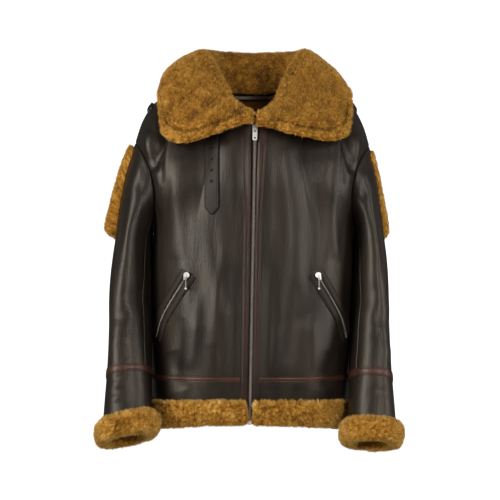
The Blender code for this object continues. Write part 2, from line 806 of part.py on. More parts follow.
def seam_angles(angles):
    trimmed = list(angles)
    trimmed[0] += SLEEVE_GAP_ANGLE * 1.4
    trimmed[-1] -= SLEEVE_GAP_ANGLE * 1.4
    return trimmed


def add_sleeve(side, name):
    stations = SLEEVE_STATIONS + [WRIST_STATION - TAPE_REACH, WRIST_STATION - STATION_GAP]
    for part, angles in (("upper", UPPER_ANGLES), ("under", UNDER_ANGLES)):
        trimmed = seam_angles(angles)
        outer = sleeve_grid(side, stations, trimmed)
        inner = sleeve_grid(side, stations, trimmed, -WALL)
        wall(f"sleeve_{part}_{name}", outer, inner, "dark_leather")


RING_ANGLES = [ARM_ANGLE * i for i in range(ARM_STEPS)]
BAND_STATIONS = [
    WRIST_STATION + STATION_GAP,
    WRIST_STATION + TAPE_REACH,
    6.5,
    CUFF_STATION,
    7.5,
    8.0,
]


def add_wrist(side, name):
    outer = sleeve_grid(side, BAND_STATIONS, RING_ANGLES)
    inner = sleeve_grid(side, BAND_STATIONS, RING_ANGLES, -WALL)
    wall(f"wrist_band_{name}", outer, inner, "dark_leather", around=True)
    middle = [WRIST_STATION - TAPE_REACH, WRIST_STATION, WRIST_STATION + TAPE_REACH]
    base = sleeve_grid(side, middle, RING_ANGLES, SEAM_GAP)
    top = sleeve_grid(side, middle, RING_ANGLES, SEAM_GAP + TAPE_THICK)
    wall(f"wrist_tape_{name}", top, base, "tape_leather", around=True)


def add_cuff(side, name):
    """The cuff's fur: over the band's end, round its edge and a little way in."""
    end_middle, _, _, _ = sleeve_frame(side, 8.0)
    start_middle, _, _, _ = sleeve_frame(side, CUFF_STATION)
    axis = end_middle - start_middle
    length = np.linalg.norm(axis)
    axis = axis / length
    sections = []
    for angle in RING_ANGLES:
        points = []
        for place in CUFF_FUR_SECTION:
            station = CUFF_STATION + min(place.below / length, 1.0)
            half = sleeve_half(side, station, angle, place.out)
            points.append(placed(side, half + axis * max(0.0, place.below - length)))
        for out in (-WALL - 5, SEAM_GAP):
            half = sleeve_half(side, 8.0, angle, out)
            points.append(placed(side, half + axis * SEAM_GAP))
        for station in (7.5, CUFF_STATION + 0.04):
            points.append(placed(side, sleeve_half(side, station, angle, SEAM_GAP)))
        sections.append(points)
    swept(f"cuff_fur_{name}", np.array(sections), "shearling_fur", around=True)


def add_sleeve_fur(side, name):
    """The fur panel, thick at its lower end, rounded off at its edges."""
    stations = PAD_STATIONS
    angles = [ARM_ANGLE * i for i in PAD_ANGLES]
    outer = np.empty((len(stations), len(angles), 3))
    inner = np.empty_like(outer)
    for i, station in enumerate(stations):
        for j, angle in enumerate(angles):
            share = i / (len(stations) - 1)
            from_edge = j / (len(angles) - 1)
            round_off = 1 - 0.25 * (1 - from_edge) ** 8 - 0.75 * from_edge**5
            round_off *= 1 - abs(2 * share - 1) ** 7 * 0.4
            thick = PAD_THICK_TOP + (PAD_THICK_END - PAD_THICK_TOP) * share
            inner[i, j] = sleeve_point(side, station, angle, LAID_GAP + 0.5)
            outer[i, j] = sleeve_point(side, station, angle, LAID_GAP + 0.5 + thick * round_off)
    wall(f"sleeve_fur_{name}", outer, inner, "shearling_fur")


# ---------------------------------------------------------------- collar
def neck_point(side, share, out):
    """The neck seam, share 0 at the centre front, 1 at the side and 2 at the centre back."""
    face = "front" if share <= 1 else "back"
    u = NECK_SHARE * (share if share <= 1 else 2 - share)
    point = top_edge(face, u)
    return point + out * away(point)


def collar_profile(side, share):
    """The fur side's line from the neck seam over the roll to the outer edge."""
    rib = row_at(COLLAR_RIBS[side], share)
    seam = neck_point(side, share, 0)
    inward = np.array((seam[0], seam[1], 0.0))
    inward = -inward / max(np.linalg.norm(inward), 1.0)
    lift = min(1.0, 0.25 + 2.0 * share)
    foot = seam + np.array((0, 0, COLLAR_GAP)) + inward * (rib.thick * 0.55) * lift
    roll = np.array((rib.roll_x, rib.roll_y, rib.roll_z))
    edge = np.array((rib.edge_x, rib.edge_y, rib.edge_z))
    middle = (roll + edge) / 2
    outward = np.array((middle[0] * 0.8, middle[1] * 0.9, 40.0))
    outward = outward / np.linalg.norm(outward)
    crown = middle + rib.crown * outward
    return foot, roll, crown, edge, rib


def collar_rib(side, share):
    """A rib's fur points, and its skin points on the other side of the fur."""
    foot, roll, crown, edge, rib = collar_profile(side, share)
    table = tuple(Keyed(i, *point) for i, point in enumerate((foot, roll, crown, edge)))
    fur = [row_at(table, key)[1:] for key in np.linspace(0, len(table) - 1, COLLAR_ROWS)]
    return np.array(fur), rib.thick


def collar_grids():
    """Fur and skin grids of the whole collar, right centre front to left centre front."""
    ribs, thick = [], []
    for side, order in ((-1, COLLAR_PLACES), (1, COLLAR_PLACES[::-1][1:])):
        for share in order:
            fur, depth = collar_rib(side, float(share))
            ribs.append([(side * x + LEAN * z, y, z) for x, y, z in fur])
            thick.append(depth)
    fur = np.array(ribs).transpose(1, 0, 2)
    along_rows = np.gradient(fur, axis=0)
    along_ribs = np.gradient(fur, axis=1)
    normal = np.cross(along_rows, along_ribs)
    normal /= np.linalg.norm(normal, axis=2, keepdims=True)
    for _ in range(3):
        padded = np.pad(normal, ((1, 1), (1, 1), (0, 0)), mode="edge")
        normal = (
            2 * normal
            + padded[:-2, 1:-1]
            + padded[2:, 1:-1]
            + padded[1:-1, :-2]
            + padded[1:-1, 2:]
        )
        normal /= np.linalg.norm(normal, axis=2, keepdims=True)
    rows = np.linspace(0, 1, fur.shape[0])[:, None, None]
    taper = 1 - 0.45 * np.clip((rows - 0.86) / 0.14, 0, 1) ** 2
    taper = taper * (1 - 0.5 * np.clip((0.12 - rows) / 0.12, 0, 1))
    depth = np.array(thick)[None, :, None] * taper
    return fur, fur + normal * depth


def add_collar():
    fur, skin = collar_grids()
    wall("collar", fur, skin, "shearling_fur")


# ---------------------------------------------------------------- pieces laid on a panel
def panel_triangles(grid):
    """The flat triangles of a panel's outer grid."""
    a, b = grid[:-1, :-1].reshape(-1, 3), grid[:-1, 1:].reshape(-1, 3)
    c, d = grid[1:, 1:].reshape(-1, 3), grid[1:, :-1].reshape(-1, 3)
    return np.concatenate([np.stack([a, b, c], axis=1), np.stack([a, c, d], axis=1)])


def on_panel(triangles, x, z):
    """The point of a panel's triangles seen at x and z from the front."""
    start = triangles[:, 0]
    first, second = triangles[:, 1] - start, triangles[:, 2] - start
    area = first[:, 0] * second[:, 2] - first[:, 2] * second[:, 0]
    area = np.where(np.abs(area) < 1e-9, 1e-9, area)
    dx, dz = x - start[:, 0], z - start[:, 2]
    s = (dx * second[:, 2] - dz * second[:, 0]) / area
    t = (dz * first[:, 0] - dx * first[:, 2]) / area
    outside = np.maximum.reduce([-s, -t, s + t - 1, np.zeros_like(s)])
    best = int(np.argmin(outside))
    return start[best] + s[best] * first[best] + t[best] * second[best]


def laid_wall(name, side, base, thick, material, gap=LAID_GAP):
    """A wall on base points: up from them by a gap, thick by a grid of sizes."""
    under = thinned(side, base, -gap)
    upper = np.empty_like(under)
    for index in np.ndindex(base.shape[:-1]):
        upper[index] = base[index] + (gap + thick[index]) * outward(side, base[index])
    return wall(name, upper, under, material)


def add_plackets():
    """A strip on each front's edge, on its own columns, from the collar to the hem fur."""
    for side, name in SIDES:
        places = front_columns(side)[1:3]
        levels = BAND_LEVELS[2:4] + [TAPE_Z] + body_levels()[1:-1]
        base = body_grid(side, "front", places, levels)
        under = thinned(side, base, -SEAM_GAP)
        upper = thinned(side, base, -SEAM_GAP - PLACKET_THICK)
        wall(f"placket_{name}", upper, under, "tape_leather")


def add_strap(front):
    rows = np.linspace(STRAP_TOP_Z, STRAP_END_Z, 15).tolist() + [STRAP_END_Z - STRAP_TIP]
    base = []
    for z in rows:
        half = STRAP_HALF if z >= STRAP_END_Z else 1.6
        base.append([on_panel(front, STRAP_X + half * s, z) for s in (-1, -0.35, 0.35, 1)])
    base = np.array(base)
    thick = np.full(base.shape[:2], STRAP_THICK)
    strap = laid_wall("throat_strap", -1, base, thick, "dark_leather", RAISED_GAP)
    for z in STRAP_HOLES_Z:
        hole = rod("hole", STRAP_HOLE_RADIUS, 60, sides=8)
        spot = on_panel(front, STRAP_X, z) * MM
        hole.matrix_world = Matrix.Translation(Vector(spot)) @ Matrix.Rotation(
            math.pi / 2, 4, "X"
        )
        combine(strap, hole, "DIFFERENCE")


def pocket_line(side, front, shift, share):
    """A point beside the pocket's zip line, shifted square to it on the panel."""
    start = along(POCKET_LINE, max(share - 0.02, 0))
    end = along(POCKET_LINE, min(share + 0.02, 1))
    here = along(POCKET_LINE, share)
    lean = LEAN * here[2]

    def seat(x, z):
        return on_panel(front, side * x + lean, z)

    run = seat(end[0], end[2]) - seat(start[0], start[2])
    spot = seat(here[0], here[2])
    across = np.cross(run, outward(side, spot))
    across *= side / np.linalg.norm(across)
    moved = spot + shift * across
    return on_panel(front, moved[0], moved[2])


def add_pocket(side, name, front):
    ends = np.linspace(0, 1, POCKET_STEPS + 1)
    for part, far in WELT_WIDE.items():
        shifts = np.linspace(math.copysign(WELT_NEAR, far), far, WELT_COLUMNS + 1)
        base = np.array([[pocket_line(side, front, s, e) for s in shifts] for e in ends])
        thick = np.full(base.shape[:2], WELT_THICK)
        thick[:, [0, -1]] *= WELT_EDGE
        laid_wall(f"pocket_welt_{part}_{name}", side, base, thick, "tape_leather", RAISED_GAP)
    inner = ends * 0.95 + 0.045
    shifts = (-POCKET_ZIP_HALF, POCKET_ZIP_HALF)
    base = np.array([[pocket_line(side, front, s, e) for s in shifts] for e in inner])
    thick = np.full(base.shape[:2], POCKET_ZIP_THICK)
    laid_wall(f"pocket_zip_{name}", side, base, thick, "zip_metal", RAISED_GAP)
    add_pocket_pull(side, name, pocket_line(side, front, 0, POCKET_SLIDER_SHARE))


def upright_frame(side, spot):
    """A matrix at a spot of a panel: x level along it, y into the coat, z upright."""
    x, y, _ = outward(side, spot)
    inward = -Vector((x, y, 0)).normalized()
    across = inward.cross(Vector((0, 0, 1)))
    turn = Matrix((across, inward, Vector((0, 0, 1)))).transposed()
    return Matrix.Translation(Vector(spot) * MM) @ turn.to_4x4()


def add_pocket_pull(side, name, spot):
    """The pocket's slider and the bead chain that hangs from its arch."""
    frame = upright_frame(side, spot)
    out = RAISED_GAP + POCKET_ZIP_THICK + 3 * SEAM_GAP
    slider_with_bridge(
        f"pocket_slider_{name}", frame, POCKET_SLIDER_SIZE, POCKET_SCALE, out, side * POCKET_TURN
    )
    axis = frame @ Matrix.Translation(pull_axis(POCKET_SLIDER_SIZE, POCKET_SCALE, out))
    pull = pull_plate(f"pocket_pull_{name}", POCKET_EYE, POCKET_SCALE)
    beads = bead_chain("beads", POCKET_EYE[1], BEADS)
    combine(pull, beads, "UNION")
    pull.matrix_world = axis


def pull_plate(name, size, scale):
    """A pull's plate, hanging from its axis, with the slot that clears the arch."""
    width, length, thick = size
    low = (-width / 2, -thick / 2, -length)
    pull = block(name, low, (width / 2, thick / 2, 0.8 * scale), "zip_metal")
    half, top, end = (value * scale for value in PULL_SLOT)
    slot = block("slot", (-half, -thick, -end), (half, thick, -top), "zip_metal")
    bpy.data.collections[COLLECTION].objects.unlink(slot)
    combine(pull, slot, "DIFFERENCE")
    return pull


def bead_chain(name, start, radii):
    """Touching beads down a chain, turned about Z as one profile."""
    profile = [(0.0, BEAD_NECK - start)]
    z = -start + BEAD_NECK / 2
    for radius in radii:
        reach = math.sqrt(radius**2 - BEAD_NECK**2)
        for along_axis, wide in ((reach, BEAD_NECK), (0.55 * radius, 0.84 * radius), (0.0, radius)):
            profile.append((wide, z - reach + along_axis))
        profile.append((0.84 * radius, z - reach - 0.55 * radius))
        z -= 2 * reach
    profile.append((BEAD_NECK, z))
    profile.append((0.0, z - 0.2))
    shape = bmesh.new()
    ring = [shape.verts.new((r * MM, 0, h * MM)) for r, h in profile]
    edges = [shape.edges.new(pair) for pair in zip(ring, ring[1:])]
    bmesh.ops.spin(
        shape,
        geom=ring + edges,
        axis=(0, 0, 1),
        cent=(0, 0, 0),
        steps=8,
        angle=math.tau,
        use_merge=True,
    )
    bmesh.ops.remove_doubles(shape, verts=shape.verts, dist=1e-6)
    bmesh.ops.recalc_face_normals(shape, faces=shape.faces)
    mesh = bpy.data.meshes.new(name)
    shape.to_mesh(mesh)
    shape.free()
    made = bpy.data.objects.new(name, mesh)
    made.data.materials.append(finish("zip_metal"))
    return made


# ---------------------------------------------------------------- hard pieces
def zip_frame(z):
    """A matrix at the middle of the zip: x across, y into the coat, z up along it."""
    levels = [z - 8, z + 8]
    points = []
    for level in levels:
        w = (level - UNDERARM_Z) / (CENTRE_FRONT[-1].z - UNDERARM_Z)
        if w < 0:
            points.append(ring_point("front", 0, level))
        else:
            points.append(centre_line("front", w))
    low, high = (placed(1, p) for p in points)
    up = Vector(high - low).normalized()
    across = Vector((1, 0, 0))
    across = (across - up * across.dot(up)).normalized()
    inward = up.cross(across)
    middle = Vector((low + high) / 2) * MM
    turn = Matrix((across, inward, up)).transposed()
    return Matrix.Translation(middle) @ turn.to_4x4()


def slider_with_bridge(name, frame, size, scale, out, turn=0.0):
    """A zip slider: a rounded body with an arch on its face for the pull."""
    width, depth, length = size
    made = block(
        name,
        (-width / 2, -out - depth, -length / 2),
        (width / 2, -out, length / 2),
        "zip_metal",
        bevel=0.8 * scale,
    )
    made.data.transform(Matrix.Rotation(turn, 4, "Y"))
    face = -out - depth
    post, half, reach = 1.2 * scale, 4.4 * scale, 3.4 * scale
    across = 1.0 * scale
    sunk = 0.5
    pieces = (
        ((-across, face - reach, half - post), (across, face + sunk, half)),
        ((-across, face - reach, -half), (across, face + sunk, -half + post)),
        ((-across, face - reach, -half + post / 2), (across, face - reach + post, half - post / 2)),
    )
    for low, high in pieces:
        part = block("arch", low, high, "zip_metal")
        bpy.data.collections[COLLECTION].objects.unlink(part)
        combine(made, part, "UNION")
    made.matrix_world = frame
    return made


def pull_axis(size, scale, out):
    """Where a pull turns in its slider's frame: along Z, and out from the face."""
    face = -out - size[1]
    return (0.0, (face - 1.1 * scale) * MM, -1.9 * scale * MM)


def add_main_zip():
    levels = BAND_LEVELS[:4] + [TAPE_Z] + body_levels()[1:-2] + [FRONT_TOP_VALUE - 8]
    rows = []
    edge = ZIP_HALF / FRONT_ARC
    for v in levels:
        rows.append([body_point(-1, "front", edge, v), body_point(1, "front", edge, v)])
    base = np.array(rows)
    outer = base + np.array((0, -0.9, 0))
    inner = base + np.array((0, 2.2, 0))
    wall("zip_chain", outer, inner, "zip_metal")

    frame = zip_frame(SLIDER_Z)
    slider_with_bridge("zip_slider", frame, SLIDER_SIZE, 1.0, 1.3)
    axis = frame @ Matrix.Translation(pull_axis(SLIDER_SIZE, 1.0, 1.3))
    pull = pull_plate("zip_pull", (PULL_WIDTH, PULL_LENGTH - 1, PULL_THICK), 1.0)
    hole = rod("hole", PULL_HOLE_RADIUS, 10, sides=10)
    hole.matrix_world = Matrix.Translation((0, 0, PULL_HOLE_Z * MM)) @ Matrix.Rotation(
        math.pi / 2, 4, "X"
    )
    combine(pull, hole, "DIFFERENCE")
    pull.matrix_world = axis

    box = block(
        "zip_box",
        (-BOX_SIZE[0] / 2, -BOX_SIZE[1] - 1.3, -BOX_SIZE[2] / 2),
        (BOX_SIZE[0] / 2, -1.3, BOX_SIZE[2] / 2),
        "zip_metal",
        bevel=0.6,
    )
    box.matrix_world = zip_frame(BOX_Z)


def add_shoulder_tab(side, name):
    """A small leather tab sewn over the shoulder line, beside the collar."""
    rows = []
    for depth in np.linspace(-1, 1, 7):
        face = "front" if depth <= 0 else "back"
        w = 1 - abs(depth) * TAB_HALF_DEPTH / YOKE_RISE
        v = UNDERARM_Z + YOKE_RISE * w
        rows.append([body_point(side, face, u, v) for u in TAB_PLACE[side]])
    base = np.array(rows)
    thick = np.full(base.shape[:2], TAB_THICK)
    laid_wall(f"shoulder_tab_{name}", side, base, thick, "dark_leather", TAB_GAP[side])


def add_hanger_loop():
    """The strip inside the back of the neck that the coat is hung by."""
    places = back_columns()[:5]
    edge = np.concatenate(
        [
            thinned(side, body_grid(side, "back", order, body_levels()[-1:]), WALL)[0]
            for side, order in ((-1, places[::-1]), (1, places[1:]))
        ]
    )
    near, far = [], []
    for z in (HANGER_LOW, HANGER_LOW + HANGER_HEIGHT / 2, HANGER_LOW + HANGER_HEIGHT):
        near_row, far_row = [], []
        for share in np.linspace(-1, 1, 9):
            x = HANGER_MIDDLE + share * HANGER_HALF
            y = np.interp(x, edge[:, 0], edge[:, 1]) - HANGER_GAP - HANGER_BOW * (1 - share**2)
            near_row.append((x, y - HANGER_THICK, z))
            far_row.append((x, y, z))
        near.append(near_row)
        far.append(far_row)
    wall("hanger_loop", np.array(near), np.array(far), "dark_leather")


def main():
    for item in list(bpy.data.objects):
        bpy.data.objects.remove(item)
    for name in (COLLECTION, "cutters"):
        group = bpy.data.collections.new(name)
        bpy.context.scene.collection.children.link(group)

    fronts = {side: panel_triangles(add_front(side, name)) for side, name in SIDES}
    add_back()
    add_waist_tapes()
    add_hem_fur()
    add_plackets()
    for side, name in SIDES:
        add_sleeve(side, name)
        add_wrist(side, name)
        add_cuff(side, name)
        add_sleeve_fur(side, name)
        add_pocket(side, name, fronts[side])
        add_shoulder_tab(side, name)
    add_strap(fronts[-1])
    add_collar()
    add_main_zip()
    add_hanger_loop()


main()
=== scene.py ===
import math
from bisect import bisect_right
from collections import namedtuple
from functools import lru_cache

import bmesh
import bpy
import numpy as np
from mathutils import Matrix, Vector, noise
from mathutils.bvhtree import BVHTree


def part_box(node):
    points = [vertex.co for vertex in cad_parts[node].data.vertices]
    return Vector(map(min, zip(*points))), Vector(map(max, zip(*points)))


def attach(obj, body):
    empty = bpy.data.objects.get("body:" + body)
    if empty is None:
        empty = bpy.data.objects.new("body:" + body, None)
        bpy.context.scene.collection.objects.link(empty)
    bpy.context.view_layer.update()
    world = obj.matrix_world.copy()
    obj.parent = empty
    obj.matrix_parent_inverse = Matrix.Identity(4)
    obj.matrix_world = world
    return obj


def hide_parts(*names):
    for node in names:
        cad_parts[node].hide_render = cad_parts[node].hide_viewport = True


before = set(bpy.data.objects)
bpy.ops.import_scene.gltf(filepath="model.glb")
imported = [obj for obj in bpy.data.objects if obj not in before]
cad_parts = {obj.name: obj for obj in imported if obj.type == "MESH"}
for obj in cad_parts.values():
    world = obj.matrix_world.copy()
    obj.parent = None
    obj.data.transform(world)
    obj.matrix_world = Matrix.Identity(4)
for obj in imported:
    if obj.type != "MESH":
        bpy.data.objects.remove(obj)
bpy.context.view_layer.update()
noise.seed_set(7)  # so that the pile's lumps and the lean of its tufts are the same each run

# Shearling coat. Tables and sizes are in millimetres and meshes in metres, in the part's own
# frame: +Z is up, the front faces -Y and the wearer's left is +X.
MM = 0.001
SIDES = ((-1, "right"), (1, "left"))
SEAM_GAP = 0.3
WALL = 5.0
LEAN = 0.018  # how far the coat leans to its left for each mm up
UNDERARM_Z = -225.0
YOKE_RISE = 200.0
TAPE_Z = -543.5
TAPE_HEIGHT = 13.0
TAPE_THICK = 1.4
TAPE_SEAM = 3.0  # from its edges in to its stitching, and so for the other pieces
BAND_END_Z = -643.0
HEM_RISE = 14.0  # of the front's lower edge at the centre
ZIP_HALF = 2.7
SKELETON_HALF = 105.0  # half width and top of the plate that the body stands out from
SKELETON_TOP = -95.0


def table(kind, *rows):
    """Rows of plain numbers as rows of a kind that names its columns."""
    return tuple(kind(*row) for row in rows)


Ring = namedtuple("Ring", "z half_width front back corner")
BODY_RINGS = table(
    Ring, (-655, 181.5, 135, 138, 2.3), (-590, 200.5, 140, 142, 2.3), (-545, 201.5, 145, 146, 2.3),
    (-480, 202.8, 148, 148, 2.3), (-400, 203.5, 150, 150, 2.35), (-300, 204.2, 150, 151, 2.4),
    (-225, 203, 150, 152, 2.4))
ARC_Z = -400  # the ring that shares of the width are measured on, and its corner
ARC_CORNER = 2.5

# Depth of the centre front and back above the underarm.
Profile = namedtuple("Profile", "z depth")
CENTRE = {
    "front": table(Profile, (-225, 150), (-150, 149), (-90, 143), (-34, 130)),
    "back": table(Profile, (-225, 152), (-150, 153), (-60, 142), (36, 90)),
}

# Neckline from the centre to the side of the neck, then the shoulder seam to the armhole.
NECK_SIDE = (88.0, 14.0, 44.0)
NECK_SHARE = 0.4  # share of the yoke's top edge that is neckline
NECK_CORNER = 2.1
SHOULDER = ((88, 14, 44), (145, 9, 34), (190, 4, 25), (209, 2, 10), (228, 1, -24), (242, 0, -68))
YOKE_FULLNESS = {"front": 18.0, "back": 13.0}

# Armhole: top and underarm, depth to each side, and how far its front and back pull in.
ARM_TOP = (242, 0, -68)
ARM_UNDER = (203, 0, -225)
ARM_DEPTH = 80.0
ARM_PULL = 20.0
ARM_CORNER = 2.2

# Sleeve rings. inner and outer are the two sides seen from the front, y their middle.
SleeveRing = namedtuple(
    "SleeveRing", "station inner_x inner_z outer_x outer_z y half_depth pitch toe pull aside")
SLEEVE_RINGS = table(
    SleeveRing, (0, 203, -225, 242, -68, 0, 80, 0, 0, 20, 0.0),
    (1, 207, -241, 257, -135, -1, 84, 0, 1, 7, 0.5),
    (2, 206.5, -265, 265, -215, -6, 85, 2, 4, 2, 1.0),
    (3, 206.5, -310, 270.5, -298, -18, 82, 5, 6, 0, 1.0),
    (4, 205.2, -385, 276.5, -388, -36, 77, 9, 7, 0, 1.0),
    (5, 203, -460, 280, -466, -55, 71, 13, 7, 0, 0.7),
    (6, 199.5, -527, 284, -535, -75, 66, 15, 6, 0, 0.4),
    (7, 196.5, -618, 291.5, -631, -101, 61, 15, 4, 0, 0.1),
    (8, 196.5, -660, 293, -674, -114, 59, 15, 4, 0, 0.1))
SHOULDER_SHIFT = {-1: (3.0, 0.0), 1: (-7.0, -7.0)}  # across and up, each side
SLEEVE_ASIDE = {1: -6.0, -1: 7.2}  # how far each elbow stands out from the mean
SLEEVE_DROP = {1: -5.0, -1: 5.0}  # the wearer's left cuff hangs lower
CUFF_TILT = {1: (-1.0, 6.0), -1: (6.0, -2.0)}  # rise of each cuff's inner and outer side
WRIST_STATION = 6.1
CUFF_STATION = 7.0
LAST_STATION = 8.0
STATION_GAP = 0.002
TAPE_REACH = 0.095  # half the wrist tape, in stations
UPPER_SPAN = (-107.87, 143.87)  # angles of the sleeve's two panels
UNDER_SPAN = (144.13, 251.87)
INNER_ARM = 180.0  # the side of the sleeve by the body

# Large folds: a trough or ridge between two points as seen from the front or back.
Fold = namedtuple("Fold", "x0 z0 x1 z1 height width")
FOLDS = {
    "front": table(
        Fold, (184, -20, 202, -122, -20, 12), (212, -50, 216, -100, 6, 14),
        (150, -110, 160, -290, 5, 18), (118, -170, 108, -420, -5, 20), (64, -240, 66, -520, 4, 24),
        (160, -496, 140, -560, -4, 18), (34, -330, 30, -560, -3, 14)),
    "back": table(
        Fold, (188, -20, 203, -122, -16, 13), (150, -120, 158, -380, 5, 20),
        (96, -60, 112, -330, -5, 22), (40, -300, 52, -540, 4, 24), (120, -400, 104, -560, -4, 20)),
}
# Softer creases on top of them, unlike from side to side.
CREASES = {
    1: {
        "front": table(
            Fold, (60, -100, 100, -400, 4.4, 22), (183, 4, 178, -150, -4.2, 6),
            (130, -192, 130, -327, -2.6, 13), (158, -237, 171, -307, 2.4, 8),
            (42, -90, 52, -260, -1.6, 12), (86, -360, 74, -500, -2.0, 12),
            (118, -420, 128, -520, 2.2, 11), (50, -440, 44, -530, 1.6, 9),
            (150, -60, 156, -120, 1.4, 9), (96, -560, 90, -600, -1.4, 10),
            (150, -566, 146, -610, 1.6, 9)),
        "back": table(
            Fold, (70, -150, 62, -330, 2.2, 12), (128, -240, 136, -400, -2.4, 12),
            (30, -360, 36, -500, -1.8, 11), (92, -420, 84, -520, 2.0, 10),
            (150, -90, 160, -160, 2.4, 9)),
    },
    -1: {
        "front": table(
            Fold, (80, -241, 52, -400, -2.6, 13), (104, -376, 118, -515, 2.4, 11),
            (118, -110, 122, -500, 4.5, 24), (134, -180, 126, -330, -1.8, 11),
            (60, -290, 78, -470, 1.8, 9), (36, -140, 40, -250, 1.6, 12),
            (138, -430, 146, -525, -2.2, 10), (70, -480, 66, -532, -1.5, 8),
            (190, 4, 184, -150, -4.2, 6), (170, -150, 176, -210, -1.4, 9),
            (120, -558, 126, -604, -1.5, 9), (62, -562, 58, -600, 1.3, 9)),
        "back": table(
            Fold, (60, -180, 72, -360, -2.0, 12), (112, -300, 104, -440, 2.4, 11),
            (148, -200, 154, -330, -2.2, 10), (26, -120, 34, -260, 1.8, 12),
            (80, -430, 92, -525, -1.8, 10)),
    },
}
# Sleeve folds: a dent or swell at a station and an angle from the outer side to the front.
ArmFold = namedtuple("ArmFold", "station angle height along around")
ARM_FOLDS = table(
    ArmFold, (2.2, 55, -5, 0.9, 16), (3.4, 35, 5, 1.2, 20), (4.1, 115, -6, 0.35, 40),
    (4.6, 80, -4, 0.3, 30), (5.4, 60, 4, 0.8, 22), (3.9, -80, -5, 0.4, 40),
    (5.0, -40, 4, 0.9, 25), (6.6, 100, -3, 0.4, 30))
ARM_CREASES = {
    1: table(
        ArmFold, (0.5, 62, 2.2, 0.25, 12), (0.75, 84, -1.9, 0.25, 11), (1.3, 100, 1.5, 0.5, 10),
        (2.6, 78, 1.3, 1.0, 11), (3.9, 96, -1.8, 0.25, 22), (4.3, 60, 1.6, 0.2, 26),
        (5.1, 90, -1.8, 0.16, 24), (5.5, 50, 1.5, 0.18, 22), (6.35, 70, 1.3, 0.07, 24),
        (6.5, 64, -1.3, 0.07, 22), (6.66, 72, 1.2, 0.07, 24), (3.6, -120, -2.2, 0.3, 26),
        (4.4, -150, 1.8, 0.25, 24), (5.2, -60, -1.8, 0.3, 20), (0.6, -70, 3.0, 0.3, 12),
        (1.0, -100, -2.6, 0.3, 10)),
    -1: table(
        ArmFold, (0.45, 58, 2.4, 0.22, 11), (0.7, 78, -2.0, 0.25, 11), (1.2, 96, 1.4, 0.5, 11),
        (2.2, 84, 1.1, 0.9, 10), (3.5, 104, -1.8, 0.22, 24), (4.6, 70, -1.6, 0.2, 26),
        (5.3, 84, 1.6, 0.15, 24), (6.3, 76, -1.2, 0.06, 26), (6.42, 72, 1.3, 0.06, 24),
        (6.55, 78, -1.2, 0.06, 24), (6.68, 70, 1.2, 0.06, 26), (6.8, 76, -1.0, 0.06, 22),
        (3.8, -130, -2.0, 0.3, 24), (4.7, -150, 1.8, 0.3, 24), (5.4, -70, -1.6, 0.25, 22),
        (0.6, -74, 3.0, 0.3, 12), (1.05, -96, -2.4, 0.3, 10)),
}

# Collar, from the centre front round to the centre back: its roll and its outer edge.
CollarRib = namedtuple("CollarRib", "neck roll_x roll_y roll_z edge_x edge_y edge_z crown thick")
COLLAR_RIBS = {
    -1: table(
        CollarRib, (0.00, 6, -146, -15, 9, -157, -38, 4, 5), (0.10, 19, -142, -4, 34, -163, -44, 9, 9),
        (0.22, 42, -120, 14, 80, -165, -60, 15, 13), (0.36, 58, -94, 40, 139, -147, -75, 21, 15),
        (0.50, 76, -58, 72, 184, -110, -60, 27, 16), (0.64, 93, -20, 104, 197, -66, -8, 31, 16),
        (0.76, 104, 8, 121, 201, -20, 27, 30, 16), (0.90, 104, 38, 127, 194, 34, 35, 27, 16),
        (1.16, 84, 84, 130, 154, 104, 8, 26, 16), (1.50, 50, 106, 130, 84, 142, -12, 22, 16),
        (2.00, 0, 114, 130, 0, 154, -20, 20, 16)),
    1: table(
        CollarRib, (0.00, 6, -146, -15, 8, -157, -42, 4, 5), (0.10, 17, -142, -8, 34, -163, -50, 9, 9),
        (0.22, 32, -121, 6, 82, -165, -61, 15, 13), (0.36, 46, -94, 32, 145, -147, -71, 20, 15),
        (0.50, 58, -58, 64, 187, -109, -58, 25, 16), (0.64, 74, -20, 98, 197, -68, -20, 25, 16),
        (0.76, 88, 8, 120, 200, -22, 24, 19, 16), (0.90, 95, 38, 128, 192, 34, 32, 18, 16),
        (1.16, 82, 84, 130, 152, 104, 6, 20, 16), (1.50, 50, 106, 130, 84, 142, -12, 22, 16),
        (2.00, 0, 114, 130, 0, 154, -20, 20, 16)),
}
COLLAR_GAP = 3.2  # its middle stands this far over the neck seam
COLLAR_MEET = 6.5  # how far the pile of each collar leaf reaches over the zip

# Fur panel on the outer back of the upper sleeve: where it lies, and its thickness.
PAD_STATIONS = np.linspace(0.2, 2.6, 74)
PAD_ANGLES = np.linspace(18, -108, 62)
PAD_THICK_TOP = 17.0
PAD_THICK_END = 30.0
PAD_ROUND = 12.0

# Turned fur at the cuffs and hem: places out from the leather and below the fur's top edge.
CUFF_TURN = (
    (0.4, 1.0), (9.5, 3.6), (17.0, 8.0), (19.5, 18.0), (19.5, 34.0), (17.5, 46.0), (11.0, 52.0),
    (1.0, 53.5), (-8.0, 51.0), (-12.0, 44.0), (-11.0, 36.0), (-8.0, 29.0), (-5.2, 25.0))
HEM_TURN = (
    (0.4, 1.0), (9.0, 3.0), (14.0, 13.0), (15.0, 30.0), (12.0, 50.0), (4.0, 59.0), (-6.0, 58.0),
    (-11.0, 51.0), (-11.0, 43.0), (-8.0, 36.0), (-5.2, 31.0))
TURN_ROWS = 46
HEM_FUR_HEIGHT = 52.0

# Strips beside the zip: distances from the middle of the zip.
PLACKET_INNER = {-1: 6.0, 1: 4.0}
PLACKET_OUTER = {-1: 20.0, 1: 17.5}
PLACKET_THICK = 1.7
PLACKET_SEAM = 2.4

